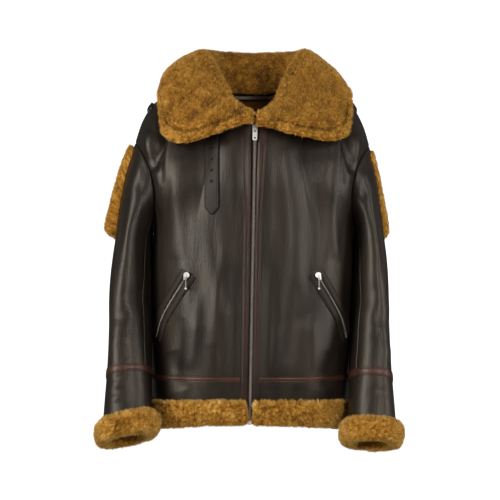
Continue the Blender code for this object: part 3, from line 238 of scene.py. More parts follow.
# Throat strap on the wearer's right chest.
STRAP_X = -87.0
STRAP_HALF = 14.2
STRAP_TIP_HALF = 2.2
STRAP_TOP_Z = -56.0
STRAP_END_Z = -202.0
STRAP_TIP = 15.0
STRAP_HOLES_Z = (-82.8, -105.9, -128.6, -151.0)
STRAP_HOLE_RADIUS = 2.3
STRAP_HOLE_DEPTH = 2.6
STRAP_THICK = 3.0
STRAP_SEAM = 3.0

# Slanted pockets: the zip's line as seen from the front, and its welts on both sides.
POCKET_LINE = ((127, 0, -333), (158, 0, -384), (179.5, 0, -424), (190.4, 0, -464))
WELT_NEAR = 2.6
WELT_WIDE = {"upper": -17.0, "lower": 17.0}
WELT_THICK = 1.9
WELT_SEAM = 2.3
POCKET_ZIP_THICK = 1.6
POCKET_ZIP_HALF = 1.9
POCKET_TOOTH = (2.6, 0.8, 1.7)  # one zip element: across, along and out
POCKET_PITCH = 1.1

# Shoulder tabs and hanger loop.
TAB_HALF_DEPTH = 16.0
TAB_PLACE = {-1: (0.748, 0.793), 1: (0.727, 0.772)}  # along the top edge
TAB_THICK = 4.6
TAB_SEAM = 3.2
HANGER_WALL = 1.6
HANGER_GAP = 0.6
HANGER_THICK = 2.4
HANGER_BOW = 1.6

# Zip slider and pull tab, in the slider's own frame: x across, o out, z along.
MAIN_TAPE_HALF = 3.6
MAIN_TOOTH = (2.6, 1.2, 2.0)
MAIN_PITCH = 1.45
SLIDER_Z = -45.0
SLIDER_DEPTH = 3.4
PULL_LENGTH = 25.0
PULL_HALF = 4.7
PULL_THICK = 1.3
PULL_SLOT = (1.9, 0.6, 6.6)  # half width, start and end below the axis
PULL_HOLE_Z = -19.0
PULL_HOLE_RADIUS = 2.0
AXIS_PLACE = (1.1, 1.9)  # the pull's axis: out from the slider's face and below its middle
RAISED_GAP = 1.2  # under the pocket pieces
PULL_LIFT = 1.6  # how much further out the pocket slider's arch stands, clear of the welts
POCKET_SLIDER_SHARE = 0.045  # place along the pocket's zip
POCKET_SLIDER_DEPTH = 2.6
POCKET_SCALE = 0.75
POCKET_TURN = -0.54  # the slider follows the slanted zip, radians
POCKET_EYE = (4.6, 6.2, 0.95)  # width, length and thickness of the plate over the beads
BEAD_NECK = 0.55
BEAD_RADII = (1.2, 1.2, 1.2, 1.2, 1.2, 1.2, 1.2, 2.5)

# Thread and pile.
STITCH_PITCH = 3.6
STITCH_LENGTH = 2.0
STITCH_RADIUS = 0.36
STITCH_LIFT = 0.15
TUFT_LENGTH = 8.4
TUFT_RADIUS = 1.0

# In metres: the narrowest sheet that is kept apart from the one it lies on, the camera and the
# surround.
NARROWEST_SHEET = 0.0105
CAMERA_SPOT = (-0.0109, -4.0, -0.287)
CAMERA_AIM = (-0.0109, 0.0, -0.287)
ROOM_RADIUS = 7.5
FLOOR_Z = -2.8


# ---------------------------------------------------------------- curves and tables
@lru_cache(maxsize=None)
def row_at(rows, key):
    """A table's row at a key between its rows, on a smooth curve through them."""
    values = np.array(rows, float)
    keys = values[:, 0]
    last = len(keys) - 1
    i = min(max(bisect_right(keys.tolist(), key) - 1, 0), last - 1)
    span = keys[i + 1] - keys[i]
    f = min(max((key - keys[i]) / span, 0.0), 1.0)

    def slope(j):
        low, high = max(j - 1, 0), min(j + 1, last)
        return (values[high] - values[low]) / (keys[high] - keys[low])

    value = (
        (2 * f**3 - 3 * f**2 + 1) * values[i] + (f**3 - 2 * f**2 + f) * span * slope(i)
        + (3 * f**2 - 2 * f**3) * values[i + 1] + (f**3 - f**2) * span * slope(i + 1))
    return type(rows[0])(*value.tolist())


Keyed = namedtuple("Keyed", "key x y z")


def distances(line):
    """Each point's distance along a line from its start."""
    return np.concatenate([[0], np.cumsum(np.linalg.norm(np.diff(line, axis=0), axis=1))])


def at_places(line, places, wanted):
    """Points of a line at the wanted places, where each of its own points has a place."""
    return np.stack([np.interp(wanted, places, line[:, axis]) for axis in range(3)], axis=-1)


@lru_cache(maxsize=None)
def dense_curve(points, samples=80):
    """A smooth curve through points: its samples, and each one's distance along it."""
    rows = tuple(Keyed(i, *point) for i, point in enumerate(points))
    line = np.array([row_at(rows, s)[1:] for s in np.linspace(0, len(points) - 1, samples)])
    return line, distances(line)


def along(points, share):
    """Points at shares of the length of a smooth curve through points."""
    line, lengths = dense_curve(points)
    return at_places(line, lengths / lengths[-1], share)


def unit(rows):
    return rows / np.maximum(np.linalg.norm(rows, axis=-1, keepdims=True), 1e-9)


def clamp(value):
    return np.clip(value, 0.0, 1.0)


def ease(share):
    """From 0 to 1, slow at both ends."""
    share = clamp(share)
    return share * share * (3 - 2 * share)


def bell(value, width):
    """1 where a value is 0, and nearly 0 from twice its width on."""
    return np.exp(-((value / width) ** 2))


def rounded(edge, reach):
    """From 0 at an edge to 1 at its reach, as a quarter circle."""
    return np.sqrt(clamp(1 - (1 - clamp(edge / reach)) ** 2))


def round_power(value, corner):
    return np.sign(value) * np.abs(value) ** (2.0 / corner)


def degrees_between(first, second):
    return (first - second + 180) % 360 - 180


@lru_cache(maxsize=None)
def quarter(width, depth, corner):
    """A squared-off quarter ellipse from its middle to its side, and its share of length."""
    turns = np.linspace(0, math.pi / 2, 90)
    x = width * np.sin(turns) ** (2 / corner)
    y = depth * np.clip(np.cos(turns), 0, 1) ** (2 / corner)
    lengths = np.concatenate([[0], np.cumsum(np.hypot(np.diff(x), np.diff(y)))])
    return x, y, lengths / lengths[-1], lengths[-1]


# ---------------------------------------------------------------- body surface
def away(points):
    """Outward from a flat plate inside the body."""
    x, _, z = np.moveaxis(points, -1, 0)
    held = np.clip(x, -SKELETON_HALF, SKELETON_HALF)
    return unit(points - np.stack([held, np.zeros_like(x), np.minimum(z, SKELETON_TOP)], axis=-1))


def ring_row(face, u, z):
    """Points of the body at a height below the underarm, u from the centre to the side."""
    ring = row_at(BODY_RINGS, z)
    depth = ring.front if face == "front" else ring.back
    x, y, shares, _ = quarter(round(ring.half_width, 2), round(depth, 2), round(ring.corner, 3))
    px, py = np.interp(u, shares, x), np.interp(u, shares, y)
    lift = np.zeros_like(px)
    if face == "front" and z < TAPE_Z:
        lift = HEM_RISE * (TAPE_Z - z) / (TAPE_Z - BAND_END_Z) * (py / depth) ** 2
    return np.stack([px, -py if face == "front" else py, z + lift], axis=-1)


def armhole_point(turn):
    """The armhole at an angle in degrees: 0 top, 90 front, 180 underarm, 270 back."""
    top, under = np.array(ARM_TOP), np.array(ARM_UNDER)
    c = round_power(math.cos(math.radians(turn)), ARM_CORNER)
    s = round_power(math.sin(math.radians(turn)), ARM_CORNER)
    point = (top + under) / 2 + c * (top - under) / 2
    return point + np.array((-ARM_PULL * s * s, -ARM_DEPTH * s, 0.0))


def top_row(face, u):
    """The yoke's top edge: the neckline, then the shoulder seam."""
    seam = along(SHOULDER, (u - NECK_SHARE) / (1 - NECK_SHARE))
    side_x, side_y, side_z = NECK_SIDE
    centre = CENTRE[face][-1]
    sign = -1 if face == "front" else 1
    x, y, shares, _ = quarter(side_x, centre.depth - sign * side_y, NECK_CORNER)
    px = np.interp(u / NECK_SHARE, shares, x)
    py = side_y + sign * np.interp(u / NECK_SHARE, shares, y)
    neck = np.stack([px, py, centre.z + (side_z - centre.z) * (px / side_x) ** 2], axis=-1)
    return np.where((u >= NECK_SHARE)[:, None], seam, neck)


def centre_point(face, w):
    """The centre front or back above the underarm."""
    z = UNDERARM_Z + (CENTRE[face][-1].z - UNDERARM_Z) * w
    depth = row_at(CENTRE[face], z).depth
    return np.array((0.0, -depth if face == "front" else depth, z))


def yoke_row(face, u, w):
    """Points above the underarm, blended from the four edges of the yoke."""
    turn = 180 * (1 - w) if face == "front" else 180 + 180 * w
    low, high = ring_row(face, u, UNDERARM_Z), top_row(face, u)
    centre, arm = centre_point(face, w), armhole_point(turn)
    start = np.zeros(1)
    s = u[:, None]
    corners = (
        (1 - s) * (1 - w) * ring_row(face, start, UNDERARM_Z) + s * (1 - w) * np.array(ARM_UNDER)
        + (1 - s) * w * top_row(face, start) + s * w * np.array(ARM_TOP))
    points = (1 - w) * low + w * high + (1 - s) * centre + s * arm - corners
    full = YOKE_FULLNESS[face] * np.sin(math.pi * s) * math.sin(math.pi * w) ** 2
    return points + full * away(points)


def fold_heights(folds, x, z):
    """How far folds raise or sink the cloth at places seen from the front or back."""
    height = np.zeros_like(x)
    for fold in folds:
        start = np.array((fold.x0, fold.z0))
        run = np.array((fold.x1, fold.z1)) - start
        share = ((x - start[0]) * run[0] + (z - start[1]) * run[1]) / np.dot(run, run)
        held = clamp(share)
        gap = np.hypot(x - start[0] - run[0] * held, z - start[1] - run[1] * held)
        ends = np.sin(math.pi * clamp(0.08 + 0.84 * share)) ** 0.6
        height += fold.height * ends * bell(gap, fold.width)
    return height


def placed(side, points):
    """Points of the half pattern on the wearer's left (1) or right (-1), leaned over."""
    x, y, z = np.moveaxis(points, -1, 0)
    reach = ease((x - 140) / 90) * ease((z + 240) / 170)
    across, rise = SHOULDER_SHIFT[side]
    return np.stack([side * (x + reach * across) + LEAN * z, y, z + reach * rise], axis=-1)


def outward(side, points):
    """The body's outward direction at points in place."""
    x, y, z = np.moveaxis(points, -1, 0)
    return away(np.stack([side * (x - LEAN * z), y, z], axis=-1)) * np.array((side, 1, 1))


def body_row(side, face, u, v):
    """A row of the body's outer surface; v runs on over the yoke to the top edge."""
    if v <= UNDERARM_Z:
        points = ring_row(face, u, v)
        hold = np.ones_like(u)
    else:
        w = min((v - UNDERARM_Z) / YOKE_RISE, 1.0)
        points = yoke_row(face, u, w)
        hold = np.full_like(u, min(1.0, 5 * (1 - w)))
    hold = hold * np.minimum(1.0, 7 * (1 - u)) * np.minimum(1.0, 8 * u)
    height = fold_heights(FOLDS[face], points[:, 0], points[:, 2])
    height += fold_heights(CREASES[side][face], points[:, 0], points[:, 2])
    return placed(side, points + (hold * height)[:, None] * away(points))


def drape(points):
    """Soft unevenness of the leather: broad swells and slighter upright ones, in mm."""
    height = []
    for x, y, z in points.reshape(-1, 3):
        broad = noise.noise((x / 70, y / 70, z / 150))
        narrow = noise.noise((x / 17, y / 17, z / 95 + 7))
        height.append(0.7 * broad + 0.3 * narrow)
    return np.array(height).reshape(points.shape[:-1])


def skin(side, face, u, levels):
    """A grid of the finished leather's surface."""
    points = np.array([body_row(side, face, u, v) for v in levels])
    return points + drape(points)[..., None] * outward(side, points)


ARC_RING = row_at(BODY_RINGS, ARC_Z)
FRONT_ARC = quarter(ARC_RING.half_width, ARC_RING.front, ARC_CORNER)[3]
SIDE_END = 1 - SEAM_GAP / 2 / FRONT_ARC
YOKE_TOP = UNDERARM_Z + YOKE_RISE - SEAM_GAP * 0.6
BAND_TOP = TAPE_Z - SEAM_GAP / 2
FINE_LEVELS = np.linspace(TAPE_Z + SEAM_GAP / 2, YOKE_TOP, 161)


# ---------------------------------------------------------------- sleeve surface
def sleeve_frame(side, station):
    """A sleeve ring's middle, half width vector, half depth vector and the ring itself."""
    ring = row_at(SLEEVE_RINGS, station)
    aside = SLEEVE_ASIDE[side] * ring.aside
    drop = SLEEVE_DROP[side] * min(1.0, max(0.0, (station - 3) / 4))
    inner_rise, outer_rise = (rise * min(1.0, max(0.0, station - 6)) for rise in CUFF_TILT[side])
    inner = np.array((ring.inner_x, 0.0, ring.inner_z + drop + inner_rise))
    outer = np.array((ring.outer_x + aside, 0.0, ring.outer_z + drop + outer_rise))
    middle = (inner + outer) / 2 + np.array((0, ring.y, 0))
    pitch, toe = math.radians(ring.pitch), math.radians(ring.toe)
    facing = (math.sin(toe), -math.cos(toe) * math.cos(pitch), math.sin(pitch))
    return middle, (outer - inner) / 2, ring.half_depth * np.array(facing), ring


def arm_fold_heights(folds, station, angles):
    height = np.zeros_like(angles)
    for fold in folds:
        turn = degrees_between(angles, fold.angle)
        reach = ((station - fold.station) / fold.along) ** 2 + (turn / fold.around) ** 2
        height += fold.height * np.exp(-reach)
    return height


def sleeve_half(side, station, angles, out=0.0):
    """Sleeve points on the half pattern; the angle runs from the outer side to the front."""
    middle, across, depth, ring = sleeve_frame(side, station)
    turns = np.radians(angles)
    c = round_power(np.cos(turns), ARM_CORNER)[:, None]
    s = round_power(np.sin(turns), ARM_CORNER)[:, None]
    width, deep = np.linalg.norm(across), np.linalg.norm(depth)
    spine = max(0.0, deep - width) * 0.85
    hold = np.clip(deep * s, -spine, spine) / deep
    direction = unit(c * across + (s - hold) * depth)
    raised = arm_fold_heights(ARM_FOLDS, station, angles) * min(1.0, station / 1.5)
    raised = raised + arm_fold_heights(ARM_CREASES[side], station, angles) + out
    points = middle + c * across + s * depth + raised[:, None] * direction
    return points + np.array((-ring.pull, 0, 0)) * s * s


def sleeve_row(side, station, angles, out=0.0):
    points = sleeve_half(side, station, angles, out)
    if station == 0:
        points = points + SEAM_GAP * unit(sleeve_half(side, 0.12, angles, out) - points)
    return placed(side, points)


def sleeve_skin(side, stations, angles, out=0.0):
    """A grid of the sleeve's finished leather, or out from it, wrapped outward."""
    if np.isscalar(out):
        out = np.full((len(stations), len(angles)), float(out))
    points = np.array([sleeve_row(side, t, angles, out[i]) for i, t in enumerate(stations)])
    swell = np.array([drape(row[None])[0] for row in points])
    raised = [sleeve_row(side, t, angles, out[i] + swell[i]) for i, t in enumerate(stations)]
    return np.array(raised) if side > 0 else np.array(raised)[:, ::-1]


# ---------------------------------------------------------------- collar surface
def neck_row(share):
    face = "front" if share <= 1 else "back"
    u = NECK_SHARE * (share if share <= 1 else 2 - share)
    return top_row(face, np.array([min(u, NECK_SHARE * 0.99999)]))[0]


def collar_rib(side, share, rows):
    """The fur side's line from the neck seam over the roll to the outer edge, and its thickness."""
    rib = row_at(COLLAR_RIBS[side], share)
    seam = neck_row(share)
    inward = -np.array((seam[0], seam[1], 0.0)) / max(math.hypot(seam[0], seam[1]), 1.0)
    lift = min(1.0, 0.25 + 2.0 * share)
    foot = seam + np.array((0, 0, COLLAR_GAP)) + inward * (rib.thick * 0.55) * lift
    roll = np.array((rib.roll_x, rib.roll_y, rib.roll_z))
    edge = np.array((rib.edge_x, rib.edge_y, rib.edge_z))
    middle = (roll + edge) / 2
    bulge = unit(np.array((middle[0] * 0.8, middle[1] * 0.9, 40.0)))
    spine = (foot, roll, middle + rib.crown * bulge, edge)
    line, lengths = dense_curve(tuple(tuple(point) for point in spine), 60)
    line = at_places(line, lengths, rows * lengths[-1])
    line[:, 0] = side * line[:, 0]
    line[:, 0] += LEAN * line[:, 2]
    return line, rib.thick


def collar_grid(columns, rows):
    """The collar's fur side, evenly spread, right centre front to left centre front."""
    dense = np.linspace(0, 2, 90)
    ribs = [collar_rib(-1, float(s), rows) for s in dense]
    ribs += [collar_rib(1, float(s), rows) for s in dense[::-1][1:]]
    line = np.array([rib[0] for rib in ribs])
    thick = np.array([rib[1] for rib in ribs])
    step = np.linalg.norm(np.diff(line, axis=0), axis=2)
    steps = 0.5 * step[:, len(rows) // 2] + 0.5 * step[:, -1]
    place = np.concatenate([[0], np.cumsum(steps)])
    wanted = np.linspace(0, place[-1], columns)
    grid = np.array([at_places(line[:, i], place, wanted) for i in range(len(rows))])
    return grid, np.interp(wanted, place, thick)


# ---------------------------------------------------------------- materials
def linear(code, alpha=True):
    """A hex sRGB colour as linear values."""
    parts = [int(code[i : i + 2], 16) / 255 for i in (1, 3, 5)]
    parts = [c / 12.92 if c <= 0.04045 else ((c + 0.055) / 1.055) ** 2.4 for c in parts]
    return (*parts, 1.0) if alpha else tuple(parts)


def fill(tree, node, values=(), links=()):
    """A node with its sockets set to values and links."""
    for key, value in dict(values).items():
        node.inputs[key].default_value = value
    for key, source in dict(links).items():
        tree.links.new(source, node.inputs[key])
    return node


def add(tree, kind, settings=(), values=(), links=()):
    """A new node with its settings, socket values and links."""
    made = tree.nodes.new(kind)
    for key, value in dict(settings).items():
        setattr(made, key, value)
    return fill(tree, made, values, links)


def started(name):
    """A new material: its tree, its shader and the piece's own coordinates."""
    material = bpy.data.materials.new(name)
    material.use_nodes = True
    tree = material.node_tree
    place = add(tree, "ShaderNodeTexCoord").outputs["Object"]
    return material, tree, tree.nodes["Principled BSDF"], place


def stretched(tree, place, scale):
    return add(tree, "ShaderNodeMapping", (), {"Scale": scale}, {"Vector": place}).outputs[0]


def soft_noise(tree, place, scale, detail, rough=0.5, twist=0.0):
    values = {"Scale": scale, "Detail": detail, "Roughness": rough, "Distortion": twist}
    return add(tree, "ShaderNodeTexNoise", (), values, {"Vector": place}).outputs["Fac"]


def marked(tree, mark):
    """A piece's own values under a name."""
    return add(tree, "ShaderNodeAttribute", {"attribute_name": mark}).outputs["Fac"]


def between(tree, source, low, high):
    values = {"To Min": low, "To Max": high}
    return add(tree, "ShaderNodeMapRange", (), values, {"Value": source}).outputs["Result"]


def bump(tree, height, strength, distance, below=None):
    """A relief, over the one below."""
    links = {"Height": height, **({"Normal": below} if below else {})}
    values = {"Strength": strength, "Distance": distance}
    return add(tree, "ShaderNodeBump", (), values, links).outputs["Normal"]


def ramp(tree, source, stops):
    made = add(tree, "ShaderNodeValToRGB", links={"Fac": source})
    points = made.color_ramp.elements
    while len(points) < len(stops):
        points.new(0.5)
    for point, (position, code) in zip(points, stops):
        point.position = position
        point.color = linear(code)
    return made.outputs["Color"]


MIX_FACTOR, MIX_FIRST, MIX_SECOND, MIX_RESULT = 0, 6, 7, 2  # a colour mix's sockets


def mixed(tree, share, first, second, blend="MIX"):
    """Two colours mixed. Each is a socket or a hex code, and the share a socket or a number."""
    values, links = {}, {}
    for place, source in ((MIX_FACTOR, share), (MIX_FIRST, first), (MIX_SECOND, second)):
        if isinstance(source, bpy.types.NodeSocket):
            links[place] = source
        else:
            values[place] = linear(source) if isinstance(source, str) else source
    settings = {"data_type": "RGBA", "blend_type": blend}
    return add(tree, "ShaderNodeMix", settings, values, links).outputs[MIX_RESULT]


def leather(name, dark, mid, sheen, edge_wear_and_shade, rough):
    """Nappa-finished sheepskin, drum dyed: a satin skin with fine pores and soft mottling, its
    lighter streaks along the hang partly a painted sheen of the drape.

    Its pores are about 1 mm apart and are drawn at 2.4 mm, so that they show. It creases
    finely along its hang. Towards its marked edges it runs to an edge colour: a redder
    burnished wear on the panels, painted shade at the edges, stitch grooves and holes of the
    strips and strap, and a darker edge on the tabs and hanger.
    """
    material, tree, surface, place = started(name)
    # painted sheen and random tone: the colour streaks along the hang, and its lighter stop, sheen,
    # stands in partly for drape highlights
    cloud = soft_noise(tree, stretched(tree, place, (26, 26, 5)), 1.0, 5.0, 0.55)
    fine = soft_noise(tree, place, 300.0, 3.0, 0.6)
    colour = ramp(tree, cloud, ((0.32, dark), (0.52, mid), (0.72, sheen)))
    # edge colour: redder burnished wear on the panels, painted shade at the edges, stitch grooves and
    # holes of the strips and strap
    colour = mixed(tree, marked(tree, "seam"), colour, edge_wear_and_shade)
    speckle = ramp(tree, fine, ((0.3, "#c4c4c4"), (0.6, "#ffffff")))
    colour = mixed(tree, 0.5, colour, speckle, "MULTIPLY")
    gloss = between(tree, cloud, rough - 0.06, rough + 0.05)
    pores = add(tree, "ShaderNodeTexVoronoi", {"feature": "F1"},
                {"Scale": 420.0, "Randomness": 1.0}, {"Vector": place}).outputs["Distance"]
    crease = soft_noise(tree, stretched(tree, place, (210, 210, 42)), 1.0, 4.0, 0.62, 0.25)
    grain = bump(tree, pores, 0.2, 0.0005)
    grain = bump(tree, fine, 0.2, 0.0012, grain)
    grain = bump(tree, crease, 0.2, 0.0022, grain)
    fill(tree, surface, {"IOR": 1.5, "Specular Tint": linear("#f8eedb")},
         {"Base Color": colour, "Roughness": gloss, "Normal": grain})
    return material


def pile(name, root_and_parting_shade, low, mid, tip, light):
    """Dyed lambswool pile, combed and sheared: matt golden curls, with painted shade where
    it parts and towards the roots of its tufts.
    """
    material, tree, surface, place = started(name)
    # painted shade: depth darkens the pile in its partings and hollows, and tip darkens each tuft
    # towards its root
    depth, tuft = marked(tree, "depth"), marked(tree, "tip")
    patch = soft_noise(tree, place, 34.0, 4.0, 0.6)
    strand = soft_noise(tree, place, 420.0, 2.0, 0.7)
    shade = None
    for source, share in ((depth, 0.56), (tuft, 0.24), (patch, 0.34), (strand, 0.24)):
        links = {0: source, **({2: shade} if shade else {})}
        shade = add(tree, "ShaderNodeMath", {"operation": "MULTIPLY_ADD"},
                    {1: share, 2: 0.0}, links).outputs[0]
    stops = ((0.34, root_and_parting_shade), (0.52, low), (0.68, mid), (0.84, tip), (1.0, light))
    colour = ramp(tree, shade, stops)
    sheen = {"Sheen Weight": 0.35, "Sheen Roughness": 0.45, "Sheen Tint": linear("#f0c878")}
    fill(tree, surface, {"Roughness": 0.92, "Specular IOR Level": 0.25, **sheen},
         {"Base Color": colour, "Normal": bump(tree, strand, 0.5, 0.0014)})
    return material


def nickel(name, dull, bright):
    """Nickel-plated zinc, tumbled bright, with small scratches."""
    material, tree, surface, place = started(name)
    scratch = soft_noise(tree, stretched(tree, place, (1, 1, 0.25)), 900.0, 3.0)
    colour = ramp(tree, scratch, ((0.3, dull), (0.65, bright)))
    gloss = between(tree, scratch, 0.3, 0.46)
    fill(tree, surface, {"Metallic": 0.6}, {"Base Color": colour, "Roughness": gloss})
    return material


def woven(name, dark, light, across):
    """Twill-woven polyester tape: ribs about 0.6 mm apart, drawn at 1.2 mm so that they show."""
    material, tree, surface, place = started(name)
    values = {"Scale": across, "Distortion": 0.4, "Detail": 1.0}
    rib = add(tree, "ShaderNodeTexWave", {"bands_direction": "DIAGONAL"}, values,
              {"Vector": place}).outputs["Fac"]
    colour = ramp(tree, rib, ((0.2, dark), (0.8, light)))
    fill(tree, surface, {"Roughness": 0.8},
         {"Base Color": colour, "Normal": bump(tree, rib, 0.5, 0.0003)})
    return material


# The last colour of each leather is its edge colour: redder burnished wear for SKIN, and for the
# binding, placket and strap leathers a darker painted shade along the edges, grooves and holes of the
# strips
SKIN = leather("nappa_sheepskin", "#120d09", "#1c1510", "#2a221b", "#1e110c", 0.44)
BINDING = leather("binding_leather", "#2b150d", "#3d2118", "#4d2e23", "#150906", 0.42)
PLACKET_SKIN = leather("placket_leather", "#1d0e0a", "#2b1712", "#3c241c", "#0e0604", 0.42)
STRAP_SKIN = leather("strap_leather", "#120c08", "#1b140e", "#2a2019", "#0a0604", 0.6)
FUR = pile("lambswool_pile", "#3e2405", "#73490d", "#a57221", "#c4923c", "#ddbd7c")
# painted light: the same pile as the outer fur, made lighter so that the inside of the coat, which
# lies in shade, reads lighter
LIGHTENED_LINING = pile("lining_pile_lightened", "#69410c", "#a56b19", "#d29634", "#ecb556", "#f6d896")
METAL = nickel("nickel_plate", "#d9d2c6", "#f6f1e8")
TEETH = nickel("nickel_teeth", "#958d85", "#bdb5ab")
THREAD = woven("waxed_thread", "#241511", "#3c2620", 500.0)
ZIP_TAPE = woven("zip_tape", "#2a1812", "#3d261d", 260.0)
# painted shade: a near-black material for the dark inside of the pull's lower hole
HOLE_SHADE = woven("painted_hole_shade", "#050404", "#0b0908", 90.0)


# ---------------------------------------------------------------- meshes
def grid_normals(grid, around=False):
    """Outward normals of a grid whose columns turn to its rows anticlockwise."""
    if around:
        padded = np.concatenate([grid[:, -2:-1], grid, grid[:, 1:2]], axis=1)
        across = np.gradient(padded, axis=1)[:, 1:-1]
    else:
        across = np.gradient(grid, axis=1)
    return unit(np.cross(across, np.gradient(grid, axis=0)))


def spans(grid):
    """Distances of each point along its row and along its column, in mm."""
    across = np.linalg.norm(np.diff(grid, axis=1), axis=2)
    up = np.linalg.norm(np.diff(grid, axis=0), axis=2)
    across = np.concatenate([np.zeros((grid.shape[0], 1)), np.cumsum(across, axis=1)], axis=1)
    up = np.concatenate([np.zeros((1, grid.shape[1])), np.cumsum(up, axis=0)], axis=0)
    return across, up


def to_edge(grid, sides="lrbt"):
    """Each point's distance to the nearest of the named sides of its grid."""
    across, up = spans(grid)
    found = np.full(across.shape, 1e3)
    gaps = {"l": across, "r": across[:, -1:] - across, "b": up, "t": up[-1:] - up}
    for side in sides:
        found = np.minimum(found, gaps[side])
    return found


def quads(grid):
    """The four corners of each cell of a grid."""
    return grid[:-1, :-1], grid[:-1, 1:], grid[1:, 1:], grid[1:, :-1]


def cell_areas(grid):
    a, b, c, d = quads(grid)
    return np.linalg.norm(np.cross(c - a, d - b), axis=2) / 2


def meshed(name, shape):
    """A mesh with a shape, which is then let go."""
    mesh = bpy.data.meshes.new(name)
    shape.to_mesh(mesh)
    shape.free()
    return mesh


def curve_mesh(name, lines, closed=False, **settings):
    """A mesh from a curve along straight-sided lines (mm), with the curve's settings."""
    curve = bpy.data.curves.new(name, "CURVE")
    for key, value in settings.items():
        setattr(curve, key, value)
    for line in lines:
        spline = curve.splines.new("POLY")
        spline.points.add(len(line) - 1)
        for point, place in zip(spline.points, line):
            point.co = (*(value * MM for value in place), 1)
        spline.use_cyclic_u = closed
    holder = bpy.data.objects.new(name, curve)
    mesh = bpy.data.meshes.new_from_object(holder)
    bpy.data.objects.remove(holder)
    return mesh


def set_marks(mesh, marks):
    """Gives a mesh's points named values."""
    for mark, values in marks.items():
        layer = mesh.attributes.new(mark, "FLOAT", "POINT")
        layer.data.foreach_set("value", np.asarray(values, np.float32).ravel())


def cloth_mesh(name, grid, marks=None):
    """A mesh shaped to a grid of points, with its UVs in metres and its marks by point."""
    rows, columns = grid.shape[:2]
    shape = bmesh.new()
    bmesh.ops.create_grid(shape, x_segments=columns - 1, y_segments=rows - 1, size=1.0)
    mesh = meshed(name, shape)
    mesh.vertices.foreach_set("co", (grid * MM).ravel())
    across, up = spans(grid)
    flat = np.stack([across.ravel(), up.ravel()], axis=1) * MM
    corner = np.empty(len(mesh.loops), int)
    mesh.loops.foreach_get("vertex_index", corner)
    mesh.uv_layers.new(name="cloth").data.foreach_set("uv", flat[corner].ravel())
    set_marks(mesh, marks or {})
    mesh.shade_smooth()
    return mesh


def merge_edges(mesh, gap=2e-6):
    """Joins the points where a mesh's edges meet."""
    shape = bmesh.new()
    shape.from_mesh(mesh)
    bmesh.ops.remove_doubles(shape, verts=shape.verts, dist=gap)
    shape.to_mesh(mesh)
    shape.free()


def new_object(name, data):
    made = bpy.data.objects.new(name, data)
    bpy.context.scene.collection.objects.link(made)
    return made


def piece(name, mesh, materials, nodes=(), body="coat"):
    """An object of the coat that rides on a body and stands for CAD nodes."""
    made = new_object(name, mesh)
    mesh.materials.clear()
    for material in materials:
        mesh.materials.append(material)
    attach(made, body)
    if nodes:
        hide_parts(*nodes)
    return made


def walled(made, thick):
    """Gives a sheet its thickness, inward from its face."""
    wall = made.modifiers.new("wall", "SOLIDIFY")
    wall.thickness = thick * MM
    wall.offset = -1.0
    return wall


SHEETS = []


def note_sheet(made, grid, held, lies_on=None):
    """Keeps a piece's cut, as wide and long as its grid is before it is rolled at its edges."""
    across, up = spans(grid)
    wide = np.median(across[:, -1]) if held == "laid" else across.max()
    flat = (wide * MM, up.max() * MM)
    area = min(cell_areas(grid).sum() * MM**2, flat[0] * flat[1])
    SHEETS.append((made, flat, area, held, lies_on))


def declare_sheets():
    """Gathers the narrowest sheets under the one that each lies on; nothing is declared."""
    narrow = {}
    for made, flat, _, _, lies_on in SHEETS:
        if min(flat) < NARROWEST_SHEET:
            narrow.setdefault(lies_on, []).append(made)


def panel(name, grid, node, sides="lrbt", around=False, flat=""):
    """A shearling panel: leather rolled over at its seams, pile on its inner side.

    Its flat sides are sewn edge to edge and hardly rolled.
    """
    normals = grid_normals(grid, around)
    free = to_edge(grid, "".join(side for side in sides if side not in flat))
    roll = 1.3 * bell(free, 2.4)
    if flat:
        roll = np.maximum(roll, 0.4 * bell(to_edge(grid, sides), 0.9))
    grid = grid - roll[..., None] * normals
    mesh = cloth_mesh(name, grid, {"seam": 0.75 * np.exp(-free / 5.0)})
    if around:
        merge_edges(mesh)
    made = piece(name, mesh, (SKIN, LIGHTENED_LINING), (node,))
    wall = walled(made, WALL - 0.4)
    wall.material_offset = 1
    wall.material_offset_rim = 0
    note_sheet(made, grid, "hung")


def strip(name, base, normals, thick, material, node, lies_on, seam, puff=0.5, rim=0.9):
    """A narrow piece laid on a panel, with rolled edges and a soft middle, and its seams.

    The base's columns run across it. Its two seams are rows of dents in from its edges.
    """
    across, _ = spans(base)
    edge = to_edge(base, "lr")
    half = across[:, -1:] / 2
    rise = thick * rounded(edge, 1.3)
    rise += puff * np.sin(clamp(edge / half) * math.pi / 2) * clamp(edge / 1.5)
    rise -= 0.8 * bell(edge - seam, 0.8)
    # painted shade: the strip is darker along its edges and in its stitch grooves
    dark = np.maximum(np.exp(-edge / rim), 0.7 * bell(edge - seam, 0.7))
    rise[:, 0] = rise[:, -1] = -1.2
    grid = base + rise[..., None] * normals
    mesh = cloth_mesh(name, grid, {"seam": 0.85 * dark})
    note_sheet(piece(name, mesh, (material,), (node,)), base, "laid", lies_on)
    return seam_lines(grid, edge, normals, seam)


def seam_lines(grid, edge, normals, seam):
    """The two lines of a strip's surface at a distance from its edges, with normals."""
    found = []
    middle = grid.shape[1] // 2
    for half in (slice(1, middle + 1), slice(grid.shape[1] - 2, middle - 1, -1)):
        points = [at_places(grid[i, half], edge[i, half], seam) for i in range(grid.shape[0])]
        found.append((np.array(points), normals[:, middle]))
    return found


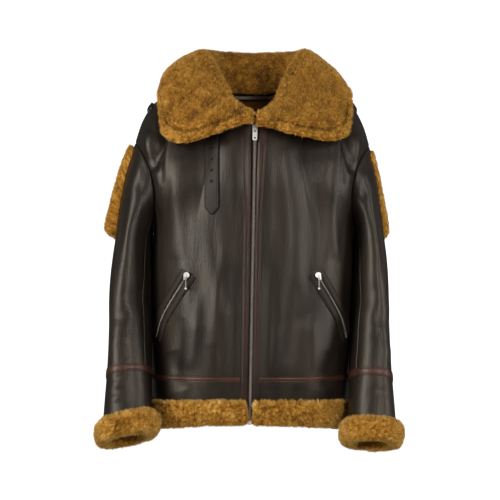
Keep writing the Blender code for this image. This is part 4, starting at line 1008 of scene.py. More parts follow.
def plate_mesh(name, lines, thick, rim):
    """A plate across X, up Z and facing -Y: its outline and holes, with rounded rims."""
    flat = [[(x, z, 0) for x, z in line] for line in lines]
    mesh = curve_mesh(
        name, flat, closed=True, dimensions="2D", fill_mode="BOTH",
        extrude=(thick / 2 - rim) * MM, bevel_depth=rim * MM, bevel_resolution=1, offset=-rim * MM)
    mesh.transform(Matrix.Rotation(math.pi / 2, 4, "X"))
    return mesh


def oval(x, z, wide, high, count=28, corner=2.0):
    """Points round an oval, squarer for a higher corner."""
    turns = np.linspace(0, math.tau, count, endpoint=False)
    return [(x + wide * round_power(np.cos(t), corner), z + high * round_power(np.sin(t), corner))
            for t in turns]


# ---------------------------------------------------------------- many small things
def scatter_tree(prototype):
    """Geometry nodes that put the prototype on each point, turned and sized, made real."""
    tree = bpy.data.node_groups.new("scatter", "GeometryNodeTree")
    tree.interface.new_socket("Geometry", in_out="INPUT", socket_type="NodeSocketGeometry")
    tree.interface.new_socket("Geometry", in_out="OUTPUT", socket_type="NodeSocketGeometry")
    start = add(tree, "NodeGroupInput")
    source = add(tree, "GeometryNodeObjectInfo", values={"Object": prototype})
    kind = "GeometryNodeInputNamedAttribute"
    turn = add(tree, kind, {"data_type": "FLOAT_VECTOR"}, {"Name": "turn"})
    size = add(tree, kind, {"data_type": "FLOAT"}, {"Name": "size"})
    put = add(tree, "GeometryNodeInstanceOnPoints", links={
        "Points": start.outputs[0], "Instance": source.outputs["Geometry"],
        "Rotation": turn.outputs["Attribute"], "Scale": size.outputs["Attribute"]})
    real = add(tree, "GeometryNodeRealizeInstances", links={"Geometry": put.outputs[0]})
    add(tree, "NodeGroupOutput", links={0: real.outputs[0]})
    return tree


def scattered(name, prototype, spots, turns, sizes=None, marks=None):
    """One mesh of a prototype repeated at spots (mm), with Euler turns and sizes."""
    points = bpy.data.meshes.new("spots")
    points.vertices.add(len(spots))
    points.vertices.foreach_set("co", (np.asarray(spots) * MM).ravel())
    layer = points.attributes.new("turn", "FLOAT_VECTOR", "POINT")
    layer.data.foreach_set("vector", np.asarray(turns, np.float32).ravel())
    sizes = np.ones(len(spots)) if sizes is None else sizes
    set_marks(points, {"size": sizes, **(marks or {})})
    holder, source = new_object("spots", points), new_object("prototype", prototype)
    holder.modifiers.new("scatter", "NODES").node_group = scatter_tree(source)
    bpy.context.view_layer.update()
    found = holder.evaluated_get(bpy.context.evaluated_depsgraph_get())
    mesh = bpy.data.meshes.new_from_object(found)
    mesh.name = name
    for item in (holder, source):
        bpy.data.objects.remove(item)
    mesh.shade_smooth()
    return mesh


def add_cone(shape, ends, sides, low, high, length, place=Matrix()):
    """Adds a cone or rod along Z with its two radii, in mm."""
    bmesh.ops.create_cone(shape, cap_ends=ends, segments=sides, radius1=low * MM,
                          radius2=high * MM, depth=length * MM, matrix=place)


def curl_shape():
    """One tuft of pile: a slim three-sided strand that runs to a point."""
    shape = bmesh.new()
    add_cone(shape, False, 3, TUFT_RADIUS, 0.0, TUFT_LENGTH)
    bmesh.ops.translate(shape, verts=shape.verts, vec=(0, 0, 1.2 * MM))
    bmesh.ops.remove_doubles(shape, verts=shape.verts, dist=1e-6)
    mesh = meshed("curl", shape)
    # tip is 0 at the root and 1 at the point; the pile material paints shade towards the root with it
    set_marks(mesh, {"tip": [float(vert.co.z > 0) for vert in mesh.vertices]})
    return mesh


def stitch_shape():
    """One stitch: a short rounded length of thread that dips at both ends."""
    shape = bmesh.new()
    add_cone(shape, True, 4, STITCH_RADIUS, STITCH_RADIUS, STITCH_LENGTH)
    for vert in shape.verts:
        vert.co = Vector((vert.co.z, vert.co.x, vert.co.y))
    for face in [f for f in shape.faces if abs(f.normal.x) > 0.9]:
        end = 1 if face.calc_center_median().x > 0 else -1
        bmesh.ops.inset_region(shape, faces=[face], thickness=0.12 * MM)
        for vert in face.verts:
            vert.co += Vector((end * 0.4, 0, -0.25)) * MM
    bmesh.ops.recalc_face_normals(shape, faces=shape.faces)
    return meshed("stitch", shape)


def tooth_shape(size):
    """One zip element: a bevelled block with a raised nose."""
    shape = bmesh.new()
    bmesh.ops.create_cube(shape, size=1.0, matrix=Matrix.Diagonal((*(s * MM for s in size), 1)))
    top = [edge for edge in shape.edges if all(vert.co.z > 0 for vert in edge.verts)]
    bmesh.ops.bevel(shape, geom=top, offset=0.28 * size[2] * MM, segments=1, profile=0.5,
                    affect="EDGES", material=-1)
    return meshed("tooth", shape)


def turned(tangent, normal):
    """The Euler turn that lays local X along a tangent and local Z along a normal."""
    x = Vector(tangent).normalized()
    z = Vector(normal)
    z = (z - x * z.dot(x)).normalized()
    return tuple(Matrix((x, z.cross(x), z)).transposed().to_euler())


def spaced(line, normals, pitch):
    """Places at an even pitch along a line: points, tangents and normals."""
    lengths = distances(line)
    wanted = np.arange(pitch * 0.5, lengths[-1], pitch)
    points, tangents, ups = (
        at_places(values, lengths, wanted) for values in (line, np.gradient(line, axis=0), normals))
    return points, unit(tangents), unit(ups)


def stitched(name, lines):
    """Rows of stitches along lines, each a pair of points and normals."""
    spots, turns = [], []
    for line, normals in lines:
        points, tangents, ups = spaced(line, normals, STITCH_PITCH)
        spots += list(points + STITCH_LIFT * ups)
        turns += [turned(t, n) for t, n in zip(tangents, ups)]
    mesh = scattered(name, stitch_shape(), spots, turns)
    piece(name, mesh, (THREAD,))


# ---------------------------------------------------------------- pile
def pile_relief(grid, curly, tone):
    """The pile's lumps, partings and combed streaks: how far out, and how light (0 to 1). The
    lightness holds painted shade: darker in the partings and between the lumps, lighter on the
    lump tops.

    curly is 1 where the pile stands in curls and near 0 where it lies combed, and tone adds
    to its lightness. Both are arrays over the grid.
    """
    across, up = spans(grid)
    found = []
    for point, wide, long in zip(grid.reshape(-1, 3), across.ravel(), up.ravel()):
        place = Vector(point)
        warped = place + 7.0 * noise.noise_vector(place / 13)
        gaps, _ = noise.voronoi(warped / 8.0)
        parting = min((gaps[1] - gaps[0]) * 2.4, 1.0)
        lump = 1 - min(gaps[0] * 1.2, 1.0) ** 2
        broad = noise.noise(place / 28)
        small = noise.noise(place / 4.6)
        streak = noise.noise(Vector((wide / 4.2, long / 17, 3.0 * broad)))
        found.append((parting - 0.6, lump - 0.6, broad, small, streak))
    found = np.array(found).reshape(*across.shape, 5)
    parting, lump, broad, small, streak = found.transpose(2, 0, 1)
    height = 1.3 * broad + curly * (2.3 * lump + 1.2 * parting + 1.0 * small)
    height = height + (1.3 - 0.7 * curly) * streak
    # painted shade: lighter on the lumps and darker in the partings between them
    light = 0.5 + tone + 0.14 * broad + curly * (0.25 * lump + 0.28 * parting + 0.2 * small)
    return height, clamp(light + (0.34 - 0.16 * curly) * streak)


def fur_piece(name, grid, nodes, around=False, close=False, curly=0.85, tone=0.0, sink=0.0):
    """A pile surface, a grid raised into lumps, and its points, normals and lightness."""
    normals = grid_normals(grid, around)
    height, light = pile_relief(grid, curly, tone)
    raised = grid + (height - sink)[..., None] * normals
    if around:
        raised[:, -1] = raised[:, 0]
    mesh = cloth_mesh(name, raised, {"depth": light})
    if around or close:
        merge_edges(mesh)
    piece(name, mesh, (FUR,), nodes)
    return raised, normals, light


def curls(name, surface, part, area, seed, comb=(0, 0, 0), size=1.0):
    """Tufts on part of a pile surface, one for each share of its area, leaning as combed."""
    grid, normals, depth = (values[part] for values in surface)
    rng = np.random.default_rng(seed)
    areas = cell_areas(grid)
    count = np.floor(areas / area + rng.random(areas.shape)).astype(int)
    rows, columns = np.nonzero(count)
    repeat = count[rows, columns]
    rows, columns = np.repeat(rows, repeat), np.repeat(columns, repeat)
    s, t = rng.random((2, len(rows), 1))
    a, b, c, d = (corner[rows, columns] for corner in quads(grid))
    spots = (a * (1 - s) + b * s) * (1 - t) + (d * (1 - s) + c * s) * t
    facing = normals[rows, columns]
    wave = np.array([noise.noise_vector(Vector(p) / 9) for p in spots]) * 1.5
    lean = rng.normal(0, 0.3, (len(rows), 3)) + wave + np.array(comb)
    direction = unit(facing * 1.25 + lean)
    direction = unit(direction + 0.35 * facing)
    spin = rng.random(len(rows)) * math.tau
    turns = []
    for way, angle in zip(direction, spin):
        turn = Vector(way).to_track_quat("Z", "X").to_matrix() @ Matrix.Rotation(angle, 3, "Z")
        turns.append(tuple(turn.to_euler()))
    sizes = size * rng.uniform(0.65, 1.15, len(rows))
    light = clamp(depth[rows, columns] + rng.normal(0, 0.09, len(rows)))
    mesh = scattered(name, curl_shape(), spots, turns, sizes, {"depth": light})
    piece(name, mesh, (FUR,))


# ---------------------------------------------------------------- camera, light and floor
def aimed(name, data, spot, target):
    """A camera or light at a spot that looks at a target, in metres."""
    made = new_object(name, data)
    made.location = spot
    made.rotation_mode = "QUATERNION"
    made.rotation_quaternion = (Vector(target) - Vector(spot)).to_track_quat("-Z", "Y")
    return made


def softbox(name, spot, target, size, energy):
    """A rectangular lamp, its size in metres and its energy in watts."""
    lamp = bpy.data.lights.new(name, "AREA")
    lamp.shape = "RECTANGLE"
    lamp.size, lamp.size_y = size
    lamp.energy = energy
    return aimed(name, lamp, spot, target)


def set_stage():
    """The camera, three softboxes, dim fills and a white surround with a flat floor."""
    scene = bpy.context.scene
    lens = bpy.data.cameras.new("camera")
    lens.lens = 140.5
    lens.sensor_width = 36.0
    scene.camera = aimed("camera", lens, CAMERA_SPOT, CAMERA_AIM)
    scene.view_settings.view_transform = "Standard"
    softbox("key", (-3.0, -2.2, 0.5), (0, 0, -0.3), (1.4, 2.6), 118)
    softbox("front", (1.4, -3.3, 0.6), (0, 0, -0.3), (0.6, 2.0), 52)
    softbox("side", (3.3, -0.9, 0.0), (0, 0, -0.35), (0.8, 2.4), 46)
    for name, spot, size, energy in (
        ("fill_low", (0.0, -2.2, -2.1), (3.0, 1.6), 27),
        ("fill_front", (0.0, -3.6, 0.6), (2.6, 1.6), 14),
        ("fill_top", (0.0, -1.2, 2.4), (2.4, 1.6), 16),
        ("fill_rear", (0.0, 3.4, 0.9), (3.0, 2.2), 90),
    ):
        softbox(name, spot, (0, 0, -0.35), size, energy).visible_glossy = False
    scene.world = bpy.data.worlds.new("room")
    scene.world.use_nodes = True
    tree = scene.world.node_tree
    fill(tree, tree.nodes["Background"], {"Color": (1, 1, 1, 1), "Strength": 0.11})

    shape = bmesh.new()
    bmesh.ops.create_uvsphere(shape, u_segments=48, v_segments=24, radius=ROOM_RADIUS)
    for vert in shape.verts:
        vert.co.z = max(vert.co.z, FLOOR_Z)
    bmesh.ops.reverse_faces(shape, faces=shape.faces)
    mesh = meshed("surround", shape)
    paper = bpy.data.materials.new("white_paper")
    paper.use_nodes = True
    tree, white = paper.node_tree, linear("#ffffff")
    fill(tree, tree.nodes["Principled BSDF"],
         {"Base Color": white, "Emission Color": white, "Emission Strength": 1.0})
    mesh.materials.append(paper)
    surround = new_object("surround", mesh)
    surround.visible_diffuse = surround.visible_glossy = surround.visible_shadow = False


# ---------------------------------------------------------------- leather panels
def side_columns(side, first, count):
    """Columns of a front from an edge near the zip to the side seam, left to right on X."""
    u = np.linspace(first / FRONT_ARC, SIDE_END, count)
    return u if side > 0 else u[::-1]


def whole_back(u, half):
    """A grid over the whole back, from the one that half makes for each side."""
    return np.concatenate([half(1, u[::-1]), half(-1, u[1:])], axis=1)


SURFACES = {}


def add_body():
    for side, name in SIDES:
        u = side_columns(side, ZIP_HALF + SEAM_GAP, 80)
        grid = eased(skin(side, "front", u, FINE_LEVELS), FINE_LEVELS, u)
        SURFACES[side] = surface_tree(grid)
        panel(f"front_skin_{name}", grid, f"front_{name}")
        band = skin(side, "front", u, np.linspace(BAND_END_Z, BAND_TOP, 26))
        panel(f"hem_band_skin_{name}", band, f"hem_band_{name}")
    for name, node, levels in (
        ("back_skin", "back", FINE_LEVELS[::2]),
        ("hem_band_skin_back", "hem_band_back", np.linspace(BAND_END_Z, BAND_TOP, 22)),
    ):
        def half(side, u):
            return eased(skin(side, "back", u, levels), levels, u)

        panel(name, whole_back(np.linspace(0, SIDE_END, 66), half), node)


def eased(grid, levels, u):
    """A front or back whose turn at the underarm level is smoothed away from the armhole."""
    near = 1 - ease((np.abs(levels - UNDERARM_Z) - 18) / 30)
    share = near[:, None] * (1 - ease((np.abs(u) - 0.72) / 0.2))[None]
    for _ in range(60):
        middle = (grid[:-2] + grid[2:]) / 2
        grid[1:-1] += 0.9 * share[1:-1, :, None] * (middle - grid[1:-1])
    return grid


def surface_tree(grid):
    """A tree that finds the point of a front seen at x and z."""
    index = np.arange(grid[..., 0].size).reshape(grid.shape[:2])
    faces = np.stack(quads(index), axis=-1).reshape(-1, 4).tolist()
    return BVHTree.FromPolygons([tuple(p) for p in grid.reshape(-1, 3)], faces)


def on_front(side, x, z):
    """The point of a front seen from the front at x and z."""
    found = SURFACES[side].ray_cast(Vector((x, -400, z)), Vector((0, 1, 0)))[0]
    if found is None:
        found = SURFACES[side].find_nearest(Vector((x, -120, z)))[0]
    return np.array(found)


def add_sleeves():
    for side, name in SIDES:
        stations = np.concatenate([[0], np.linspace(0.04, WRIST_STATION - STATION_GAP, 132)])
        for part, span, count in (("upper", UPPER_SPAN, 78), ("under", UNDER_SPAN, 32)):
            angles = np.linspace(*span, count)
            inner = bell(degrees_between(angles, INNER_ARM), 50)
            armhole = 0.8 + 4.0 * bell(stations[:, None] - 1.05, 0.5)
            grid = sleeve_skin(side, stations, angles, armhole * inner)
            panel(f"sleeve_skin_{part}_{name}", grid, f"sleeve_{part}_{name}", flat="lr")
        stations = np.linspace(WRIST_STATION + STATION_GAP, LAST_STATION, 44)
        grid = sleeve_skin(side, stations, np.linspace(0, 360, 97))
        panel(f"wrist_skin_{name}", grid, f"wrist_band_{name}", sides="bt", around=True)


# ---------------------------------------------------------------- tapes and strips
def waist_tape(name, rows):
    """A length of the waist tape over rows that run along it, and its seams."""
    base = rows.transpose(1, 0, 2)
    return strip(f"waist_tape_skin_{name}", base, grid_normals(base), TAPE_THICK, BINDING,
                 f"waist_tape_{name}", f"hem_band_skin_{name}", TAPE_SEAM)


def add_tapes():
    """The tapes over the waist and wrist seams, each stitched twice."""
    spread = np.linspace(-1, 1, 17) * TAPE_HEIGHT / 2
    levels = TAPE_Z + spread[::-1]
    lines = []
    for side, name in SIDES:
        u = side_columns(side, PLACKET_OUTER[side] + 0.6, 100)
        lines += waist_tape(name, skin(side, "front", u, levels))
    back = whole_back(np.linspace(0, SIDE_END, 90), lambda side, u: skin(side, "back", u, levels))
    stitched("waist_stitching", lines + waist_tape("back", back))
    for side, name in SIDES:
        reach = TAPE_REACH * spread / (TAPE_HEIGHT / 2)
        grid = sleeve_skin(side, WRIST_STATION + reach[::-1], np.linspace(0, 360, 121))
        grid = grid.transpose(1, 0, 2)
        normals = grid_normals(grid)
        if ((grid - grid.mean(axis=(0, 1))) * normals).sum() < 0:
            grid = grid[::-1]
            normals = grid_normals(grid)
        normals[0] = normals[-1] = unit(normals[0] + normals[-1])
        lines = strip(f"wrist_tape_skin_{name}", grid, normals, TAPE_THICK, BINDING,
                      f"wrist_tape_{name}", f"wrist_skin_{name}", TAPE_SEAM)
        stitched(f"wrist_stitching_{name}", lines)


def add_plackets():
    """The strips beside the zip, stitched along both edges."""
    lines = []
    levels = np.linspace(BAND_END_Z + HEM_FUR_HEIGHT, YOKE_TOP - 12, 230)
    for side, name in SIDES:
        u = np.linspace(PLACKET_INNER[side], PLACKET_OUTER[side], 17) / FRONT_ARC
        base = skin(side, "front", u if side > 0 else u[::-1], levels)
        lines += strip(f"placket_skin_{name}", base, grid_normals(base), PLACKET_THICK,
                       PLACKET_SKIN, f"placket_{name}", f"front_skin_{name}", PLACKET_SEAM, rim=1.8)
    stitched("placket_stitching", lines)


def add_strap():
    """The throat strap: a flat leather strap with a pointed end and punched holes."""
    shares = np.linspace(-1, 1, 31)
    base = []
    for z in np.linspace(STRAP_TOP_Z, STRAP_END_Z - STRAP_TIP, 160):
        tip = clamp((STRAP_END_Z - z) / STRAP_TIP)
        half = STRAP_HALF * (1 - tip) + STRAP_TIP_HALF * tip
        base.append([on_front(-1, STRAP_X + half * s, z) for s in shares])
    base = np.array(base)[::-1]
    normals = outward(-1, base)
    base = base + 0.9 * normals
    edge = np.minimum(to_edge(base, "lr"), (spans(base)[1] + 0.01) * 0.8)
    rise = STRAP_THICK * rounded(edge, 1.2)
    rise -= 0.7 * bell(edge - STRAP_SEAM, 0.8)
    hole = np.zeros_like(rise)
    for z in STRAP_HOLES_Z:
        gap = np.hypot(base[..., 0] - STRAP_X, base[..., 2] - z)
        hole = np.maximum(hole, np.exp(-((gap / STRAP_HOLE_RADIUS) ** 6)))
    rise = rise - STRAP_HOLE_DEPTH * hole
    rise[:, 0] = rise[:, -1] = rise[0] = -1.2
    grid = base + rise[..., None] * normals
    # painted shade: darker in the punched holes and along the strap's edges
    dark = np.maximum(clamp(hole * 2), np.exp(-edge / 1.4))
    mesh = cloth_mesh("throat_strap_skin", grid, {"seam": dark})
    made = piece("throat_strap_skin", mesh, (STRAP_SKIN,), ("throat_strap",))
    note_sheet(made, base, "laid", "front_skin_right")
    stitched("strap_stitching", seam_lines(grid, edge, normals, STRAP_SEAM))


def pocket_place(side, shift, share):
    """A point beside the pocket's zip line, shifted square to it on the front."""

    def seat(place):
        x, _, z = along(POCKET_LINE, place)
        return on_front(side, side * x + LEAN * z, z)

    spot = seat(share)
    run = seat(min(share + 0.02, 1)) - seat(max(share - 0.02, 0))
    across = np.cross(run, outward(side, spot))
    moved = spot + shift * side * across / np.linalg.norm(across)
    return on_front(side, moved[0], moved[2])


def add_pockets():
    ends = np.linspace(0, 1, 90)
    for side, name in SIDES:
        lines = []
        for part, far in WELT_WIDE.items():
            shifts = np.linspace(math.copysign(WELT_NEAR, far), far, 19)
            if (far > 0) == (side > 0):
                shifts = shifts[::-1]
            base = np.array([[pocket_place(side, s, e) for s in shifts] for e in ends])[::-1]
            normals = outward(side, base)
            lines += strip(f"pocket_welt_skin_{part}_{name}", base + 0.5 * normals, normals,
                           WELT_THICK, STRAP_SKIN, f"pocket_welt_{part}_{name}",
                           f"front_skin_{name}", WELT_SEAM, puff=0.8, rim=1.5)
        stitched(f"pocket_stitching_{name}", lines)
        middle = np.array([pocket_place(side, 0.0, e) for e in ends * 0.95 + 0.045])
        ups = outward(side, middle)
        add_chain(f"pocket_{name}", middle + 1.2 * ups, ups, POCKET_ZIP_HALF, POCKET_TOOTH,
                  POCKET_PITCH, f"pocket_zip_{name}")
        add_pocket_slider(side, name)


def add_chain(name, line, ups, half, tooth, pitch, node):
    """A zip's woven tape and its elements, one from each side in turn."""
    across = unit(np.cross(unit(np.gradient(line, axis=0)), ups))
    base = line[:, None] + np.linspace(-half, half, 7)[None, :, None] * across[:, None]
    if (grid_normals(base) * ups[:, None]).sum() < 0:
        base = base[:, ::-1]
    tape = cloth_mesh("zip_tape", base)
    piece(f"{name}_zip_tape", tape, (ZIP_TAPE,))
    spots, tangents, normals = spaced(line, ups, pitch)
    sideways = unit(np.cross(tangents, normals))
    turn = np.where(np.arange(len(spots)) % 2 == 0, 1.0, -1.0)[:, None]
    spots = spots + turn * sideways * half * 0.28 + normals * tooth[2] * 0.45
    turns = [turned(s, n) for s, n in zip(sideways, normals)]
    mesh = scattered(f"{name}_zip_teeth", tooth_shape(tooth), spots, turns)
    mesh.shade_flat()
    piece(f"{name}_zip_teeth", mesh, (TEETH,), (node,))


def zip_line():
    """Points up the middle of the front, between the plackets."""
    u = np.array([ZIP_HALF / FRONT_ARC])
    levels = np.linspace(BAND_END_Z, YOKE_TOP - 7, 150)
    right, left = (np.array([body_row(side, "front", u, v)[0] for v in levels]) for side in (-1, 1))
    return (right + left) / 2


def zip_place(line, z):
    """A matrix at the middle of the zip: x across, y into the coat, z up along it."""
    low, high = (at_places(line, line[:, 2], level) for level in (z - 8, z + 8))
    up = Vector(high - low).normalized()
    across = Vector((1, 0, 0))
    across = (across - up * across.dot(up)).normalized()
    turn = Matrix((across, up.cross(across), up)).transposed()
    return Matrix.Translation(Vector((low + high) / 2) * MM) @ turn.to_4x4()


def hung_from(place, face, scale=1.0):
    """The place of a pull's axis in front of a slider's face."""
    out, below = AXIS_PLACE
    return place @ Matrix.Translation((0, (face - out * scale) * MM, -below * scale * MM))


def slot_line(scale=1.0):
    """The slot that a pull hangs by."""
    half, top, end = (value * scale for value in PULL_SLOT)
    return oval(0, -(top + end) / 2, half, (end - top) / 2, 20, 5.0)


def add_main_zip():
    line = zip_line()
    ups = np.array([(0, -1, 0)] * len(line), float)
    add_chain("main", line + (0, -0.9, 0), ups, MAIN_TAPE_HALF, MAIN_TOOTH, MAIN_PITCH, "zip_chain")
    for node in ("zip_slider", "zip_box"):
        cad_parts[node].material_slots[0].material = METAL
    axis = hung_from(zip_place(line, SLIDER_Z), -1.3 - SLIDER_DEPTH)
    middle = (1.0 - PULL_LENGTH + 0.8) / 2
    hole = oval(0, PULL_HOLE_Z, PULL_HOLE_RADIUS, PULL_HOLE_RADIUS, 20)
    lines = (oval(0, middle, PULL_HALF, 0.8 - middle, 40, 6.0), slot_line(), hole)
    mesh = plate_mesh("zip_pull", lines, PULL_THICK, 0.3)
    mesh.transform(axis)
    piece("zip_pull_plate", mesh, (METAL,), ("zip_pull",), "main_pull")
    # painted shade: a near-black disc fills the pull's lower hole, where it shows dark
    dot = plate_mesh("pull_lacquer", (hole,), 0.7, 0.1)
    dot.transform(axis)
    piece("zip_pull_lacquer", dot, (HOLE_SHADE,), (), "main_pull")


def add_pocket_slider(side, name):
    """The pocket zip's slider: a drop-shaped body with a wire arch for its bead chain."""
    spot = pocket_place(side, 0.0, POCKET_SLIDER_SHARE)
    x, y, _ = outward(side, spot)
    inward = -Vector((x, y, 0)).normalized()
    up = Vector((0, 0, 1))
    turn = Matrix((inward.cross(up), inward, up)).transposed().to_4x4()
    place = Matrix.Translation(Vector(spot) * MM) @ turn
    out = RAISED_GAP + POCKET_ZIP_THICK + 3 * SEAM_GAP + PULL_LIFT
    drop = []
    for t in np.linspace(0, math.tau, 36, endpoint=False):
        z = 1.5 + 6.8 * np.sin(t)
        narrow = 1 - 0.55 * ease(np.array((3.0 - z) / 8.0))
        drop.append((6.4 * np.cos(t) * float(narrow), z if z > 0 else z * 1.6))
    body = plate_mesh(f"pocket_slider_{name}", (drop,), POCKET_SLIDER_DEPTH, 0.7)
    lift = Matrix.Translation((0, -(out + POCKET_SLIDER_DEPTH / 2) * MM, 0))
    body.transform(place @ lift @ Matrix.Rotation(side * POCKET_TURN, 4, "Y"))
    node = f"pocket_slider_{name}"
    piece(f"pocket_slider_body_{name}", body, (METAL,), (node,))
    face = -(out + POCKET_SLIDER_DEPTH)
    reach, half = 3.4 * POCKET_SCALE, 4.0 * POCKET_SCALE
    path = [(face + 0.5, half), (face - reach + 1.3, half), (face - reach + 0.6, half - 0.8)]
    path += [(y, -z) for y, z in path[::-1]]
    arch = curve_mesh("arch", ([(0, y, z) for y, z in path],), dimensions="3D",
                      bevel_depth=0.6 * MM, bevel_resolution=2, use_fill_caps=True)
    arch.transform(place)
    piece(f"pocket_slider_arch_{name}", arch, (METAL,))
    add_bead_pull(name, hung_from(place, face, POCKET_SCALE))


def add_bead_pull(name, axis):
    """The bead chain on a small plate that hangs from the pocket slider's arch."""
    width, length, thick = POCKET_EYE
    outline = oval(0, (0.6 - length) / 2, width / 2, (0.6 + length) / 2, 32, 4.0)
    shape = bmesh.new()
    shape.from_mesh(plate_mesh("bead_plate", (outline, slot_line(POCKET_SCALE)), thick, 0.2))
    z = -length + BEAD_NECK / 2
    place = Matrix.Translation((0, 0, (z - 8) * MM))
    add_cone(shape, True, 8, BEAD_NECK, BEAD_NECK, 18, place)
    for radius in BEAD_RADII:
        if radius == BEAD_RADII[-1]:
            plated = len(shape.faces)
        reach = math.sqrt(radius**2 - BEAD_NECK**2)
        bmesh.ops.create_uvsphere(shape, u_segments=16, v_segments=10, radius=radius * MM,
                                  matrix=Matrix.Translation((0, 0, (z - reach) * MM)))
        z -= 2 * reach
    mesh = meshed("bead_pull", shape)
    mesh.transform(axis)
    node = f"pocket_pull_{name}"
    piece(f"bead_pull_{name}", mesh, (TEETH, METAL), (node,), node)
    for face in mesh.polygons:
        face.use_smooth = True
        face.material_index = int(face.index >= plated)


def add_tabs():
    for side, name in SIDES:
        rows = []
        for depth in np.linspace(-1, 1, 41):
            face = "front" if depth <= 0 else "back"
            v = UNDERARM_Z + YOKE_RISE * (1 - abs(depth) * TAB_HALF_DEPTH / YOKE_RISE)
            rows.append(body_row(side, face, np.linspace(*TAB_PLACE[side], 15), v))
        base = np.array(rows)
        normals = outward(side, base)
        if (grid_normals(base) * normals).sum() < 0:
            base, normals = base[:, ::-1], normals[:, ::-1]
        base = base + 0.3 * normals
        edge = to_edge(base)
        rise = TAB_THICK * rounded(edge, 1.8)
        rise -= 0.5 * bell(edge - TAB_SEAM, 0.7)
        rise[:, 0] = rise[:, -1] = rise[0] = rise[-1] = -1.0
        grid = base + rise[..., None] * normals
        mesh = cloth_mesh(f"tab_{name}", grid, {"seam": np.exp(-edge / 2.5)})
        made = piece(f"shoulder_tab_skin_{name}", mesh, (PLACKET_SKIN,), (f"shoulder_tab_{name}",))
        note_sheet(made, grid, "laid", f"front_skin_{name}")
        stitched(f"tab_stitching_{name}", seam_lines(grid, edge, normals, TAB_SEAM))


def add_hanger():
    """The hanger strip inside the back of the neck, folded leather sewn at both ends."""
    low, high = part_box("hanger_loop")
    middle, half = (low + high) / 2 / MM, (high - low) / 2 / MM
    rows = []
    for level in np.linspace(-1, 1, 13):
        thick = HANGER_THICK * math.sqrt(max(0.0, 1 - abs(level) ** 6))
        row = []
        for share in np.linspace(-1, 1, 60):
            x = middle[0] + share * half[0]
            y = hanger_face(x) - HANGER_BOW * (1 - share**2) - thick
            row.append((x, y, middle[2] + level * half[2]))
        rows.append(row)
    grid = np.array(rows)
    mesh = cloth_mesh("hanger", grid, {"seam": np.exp(-to_edge(grid, "bt") / 2.0)})
    made = piece("hanger_strip", mesh, (PLACKET_SKIN,), ("hanger_loop",))
    walled(made, HANGER_WALL)
    note_sheet(made, grid, "folded", "back_skin")


def hanger_face(x):
    """Depth of the back panel's inner edge behind the hanger strip, at a place across."""
    rows = ((side, body_row(side, "back", np.linspace(0, 0.5, 30), YOKE_TOP)) for side in (-1, 1))
    right, left = (row - WALL * outward(side, row) for side, row in rows)
    edge = np.concatenate([right[::-1], left[1:]])
    return float(np.interp(x, edge[:, 0], edge[:, 1])) - HANGER_GAP


# ---------------------------------------------------------------- fur pieces
def add_collar():
    """The collar: pile up, its leaves edged with a raised roll that stands in tighter curls."""
    rows = np.linspace(0, 1, 88)
    fur, thick = collar_grid(380, rows)
    skin_side = -grid_normals(fur)
    for _ in range(8):
        near = np.pad(skin_side, ((1, 1), (1, 1), (0, 0)), mode="edge")
        skin_side = unit(skin_side * 2 + near[:-2, 1:-1] + near[2:, 1:-1] + near[1:-1, :-2]
                         + near[1:-1, 2:])
    taper = 1 - 0.45 * clamp((rows - 0.86) / 0.14) ** 2
    taper = taper * (1 - 0.5 * clamp((0.12 - rows) / 0.12))
    depth = thick[None] * taper[:, None]
    top, ends, up = to_edge(fur, "t"), to_edge(fur, "lr"), rows[:, None]
    leaf = np.minimum(top, ends + 14 * ease((0.5 - up) / 0.3))
    outer = ease((up - 0.3) / 0.2)
    front = ease((-fur[..., 1] - 10) / 40)
    roll = bell(leaf - 11, 9) * outer
    groove = bell(leaf - 27, 3.4) * outer * front
    inner = ease((leaf - 30) / 8) * front
    fold = ease((0.36 - up) / 0.2) * front
    stand = ease((fur[..., 1] + 10) / 30) * ease((0.5 - up) / 0.12)
    curly = clamp(0.95 - 0.45 * inner * (1 - fold) - 0.4 * stand)
    # painted shade and light: darker in the groove, on the leaves' inner part and at the stand inside
    # the neck, and a little lighter on the raised roll
    tone = 0.05 * roll - 0.3 * groove - 0.07 * inner * (1 - 0.7 * fold) - 0.14 * stand + 0.03
    round_off = 1 - rounded(top, 9.0) * rounded(to_edge(fur, "lrb"), 4.5)
    rise = 1.8 * roll - 3.0 * groove
    face = fur + (depth * 0.5 * round_off - rise)[..., None] * skin_side
    middle = bell(ends, 16) * ease((-fur[..., 1] - 60) / 30)
    face[..., 0] -= COLLAR_MEET * middle * np.sign(fur[..., 0])
    surface = fur_piece("collar_pile", face, ("collar",), curly=curly, tone=tone, sink=1.6)
    half = face.shape[1] // 2
    curls("collar_curls_right", surface, np.s_[:, : half + 1], 4.4, 11)
    curls("collar_curls_left", surface, np.s_[:, half:], 4.4, 11)
    under = fur + (depth * (1 - 0.5 * round_off))[..., None] * skin_side
    under = under[::2, ::3][:, ::-1]
    mesh = cloth_mesh("collar_skin", under, {"seam": 0.7 * np.exp(-to_edge(under) / 5)})
    note_sheet(piece("collar_skin", mesh, (SKIN,)), under, "folded")


def turn_section(turn):
    """Samples along a smooth line through the places of turned fur, in as many rows."""
    line, lengths = dense_curve(tuple((out, below, 0.0) for out, below in turn))
    return at_places(line, lengths, np.linspace(0, lengths[-1], TURN_ROWS))[:, :2]


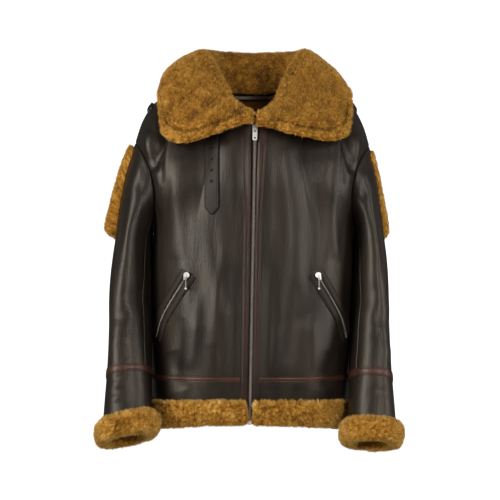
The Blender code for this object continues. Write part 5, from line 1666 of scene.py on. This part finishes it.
def add_cuffs():
    angles = np.linspace(0, 360, 151)
    wide, back = np.cos(np.radians(angles)), clamp(-np.sin(np.radians(angles)))
    inside = clamp(np.arange(TURN_ROWS) / (TURN_ROWS - 1) - 0.72)[:, None] / 0.28
    for side, name in SIDES:
        axis = sleeve_frame(side, LAST_STATION)[0] - sleeve_frame(side, CUFF_STATION)[0]
        length = np.linalg.norm(axis)
        axis = axis / length
        lines = []
        for out, below in turn_section(CUFF_TURN):
            station = CUFF_STATION + min(below / length, 1.0)
            reach = out * (1 - (0.5 if out < 0 else 0.2) * back)
            if out < 0:
                reach = reach * (1 + 0.4 * np.abs(wide))
            else:
                reach = reach - 6.5 * clamp(wide) * min(below / 46, 1.0) * min(out / 15, 1.0)
            half = sleeve_half(side, station, angles, reach)
            lines.append(placed(side, half + axis * max(0.0, below - length)))
        grid = np.array(lines) if side > 0 else np.array(lines)[:, ::-1]
        # painted shade: the pile is darker on its inside rows, where the cuff turns in under the
        # sleeve
        surface = fur_piece(f"cuff_pile_{name}", grid, (f"cuff_fur_{name}",), around=True,
                            tone=0.12 - 0.4 * inside, sink=3.0)
        curls(f"cuff_curls_{name}", surface, np.s_[:], 4.0, 21 + side, comb=(0, 0, -0.5))
        curls(f"cuff_fringe_{name}", surface, np.s_[1:5], 2.2, 61 + side, comb=(0, 0, 1.7), size=1.3)


def hem_line(side, face, u):
    """Points of the turned hem fur at places round the hem, one row for each section point."""
    rows = []
    for out, below in turn_section(HEM_TURN):
        v = BAND_END_Z + HEM_FUR_HEIGHT - below
        base = body_row(side, face, u, max(v, BAND_END_Z))
        if v < BAND_END_Z:
            base = base + np.array((0, 0, v - BAND_END_Z))
        rows.append(base + out * outward(side, base))
    return np.array(rows)[::-1]


def add_hem():
    for side, name in SIDES:
        grid = hem_line(side, "front", side_columns(side, 4.3, 116))
        near = to_edge(grid, "l" if side > 0 else "r")
        middle = grid[8:30].mean(axis=0, keepdims=True)
        grid = middle + (grid - middle) * rounded(near, 9.0)[..., None]
        add_hem_fur(name, grid, 31 + side)
    u = np.linspace(0, SIDE_END, 105)
    add_hem_fur("back", whole_back(u, lambda side, u: hem_line(side, "back", u)), 41)


def add_hem_fur(name, grid, seed):
    """A length of the turned hem fur, its fringe, and tufts over the seams at its ends."""
    surface = fur_piece(f"hem_pile_{name}", grid, (f"hem_fur_{name}",), close=True, tone=0.12,
                        sink=2.6)
    curls(f"hem_curls_{name}", surface, np.s_[:], 4.1, seed, comb=(0, 0, -0.5))
    for end, part in enumerate((np.s_[:, :4], np.s_[:, -4:])):
        depth = surface[0][part][..., 1]
        if np.abs(depth).mean() < 40:
            comb = (0, -1.5 * np.sign(depth.mean()), 0)
            curls(f"hem_seam_{name}_{end}", surface, part, 1.6, seed + 40 + end, comb=comb)
    curls(f"hem_fringe_{name}", surface, np.s_[-6:-1], 2.0, seed + 20, comb=(0, 0, 1.8), size=1.4)


def add_pads():
    """The fur panels on the outer back of the upper sleeves."""
    first, last = PAD_STATIONS[[0, -1]]
    share = (PAD_STATIONS[:, None] - first) / (last - first)
    for side, name in SIDES:
        base = sleeve_pad(side, np.full((len(PAD_STATIONS), len(PAD_ANGLES)), 0.9))
        edge = rounded(to_edge(base), PAD_ROUND)
        thick = PAD_THICK_TOP + (PAD_THICK_END - PAD_THICK_TOP) * share
        far = to_edge(base, "r" if side < 0 else "l")
        thick = thick * (0.55 + 0.45 * ease(far / 60))
        grid = sleeve_pad(side, 1.0 + thick * edge)
        surface = fur_piece(f"sleeve_pad_pile_{name}", grid, (f"sleeve_fur_{name}",), tone=0.1,
                            sink=2.0 * edge)
        curls(f"sleeve_pad_curls_{name}", surface, np.s_[:], 4.2, 51 + side, comb=(0, 0, -0.3))


def sleeve_pad(side, out):
    """A grid of the sleeve where its fur panel lies, out from the leather."""
    rows = [sleeve_row(side, t, PAD_ANGLES, out[i]) for i, t in enumerate(PAD_STATIONS)]
    return np.array(rows)[:, ::-1] if side > 0 else np.array(rows)


set_stage()
add_body()
add_sleeves()
add_tapes()
add_plackets()
add_strap()
add_pockets()
add_main_zip()
add_tabs()
add_hanger()
add_collar()
add_cuffs()
add_hem()
add_pads()

declare_sheets()
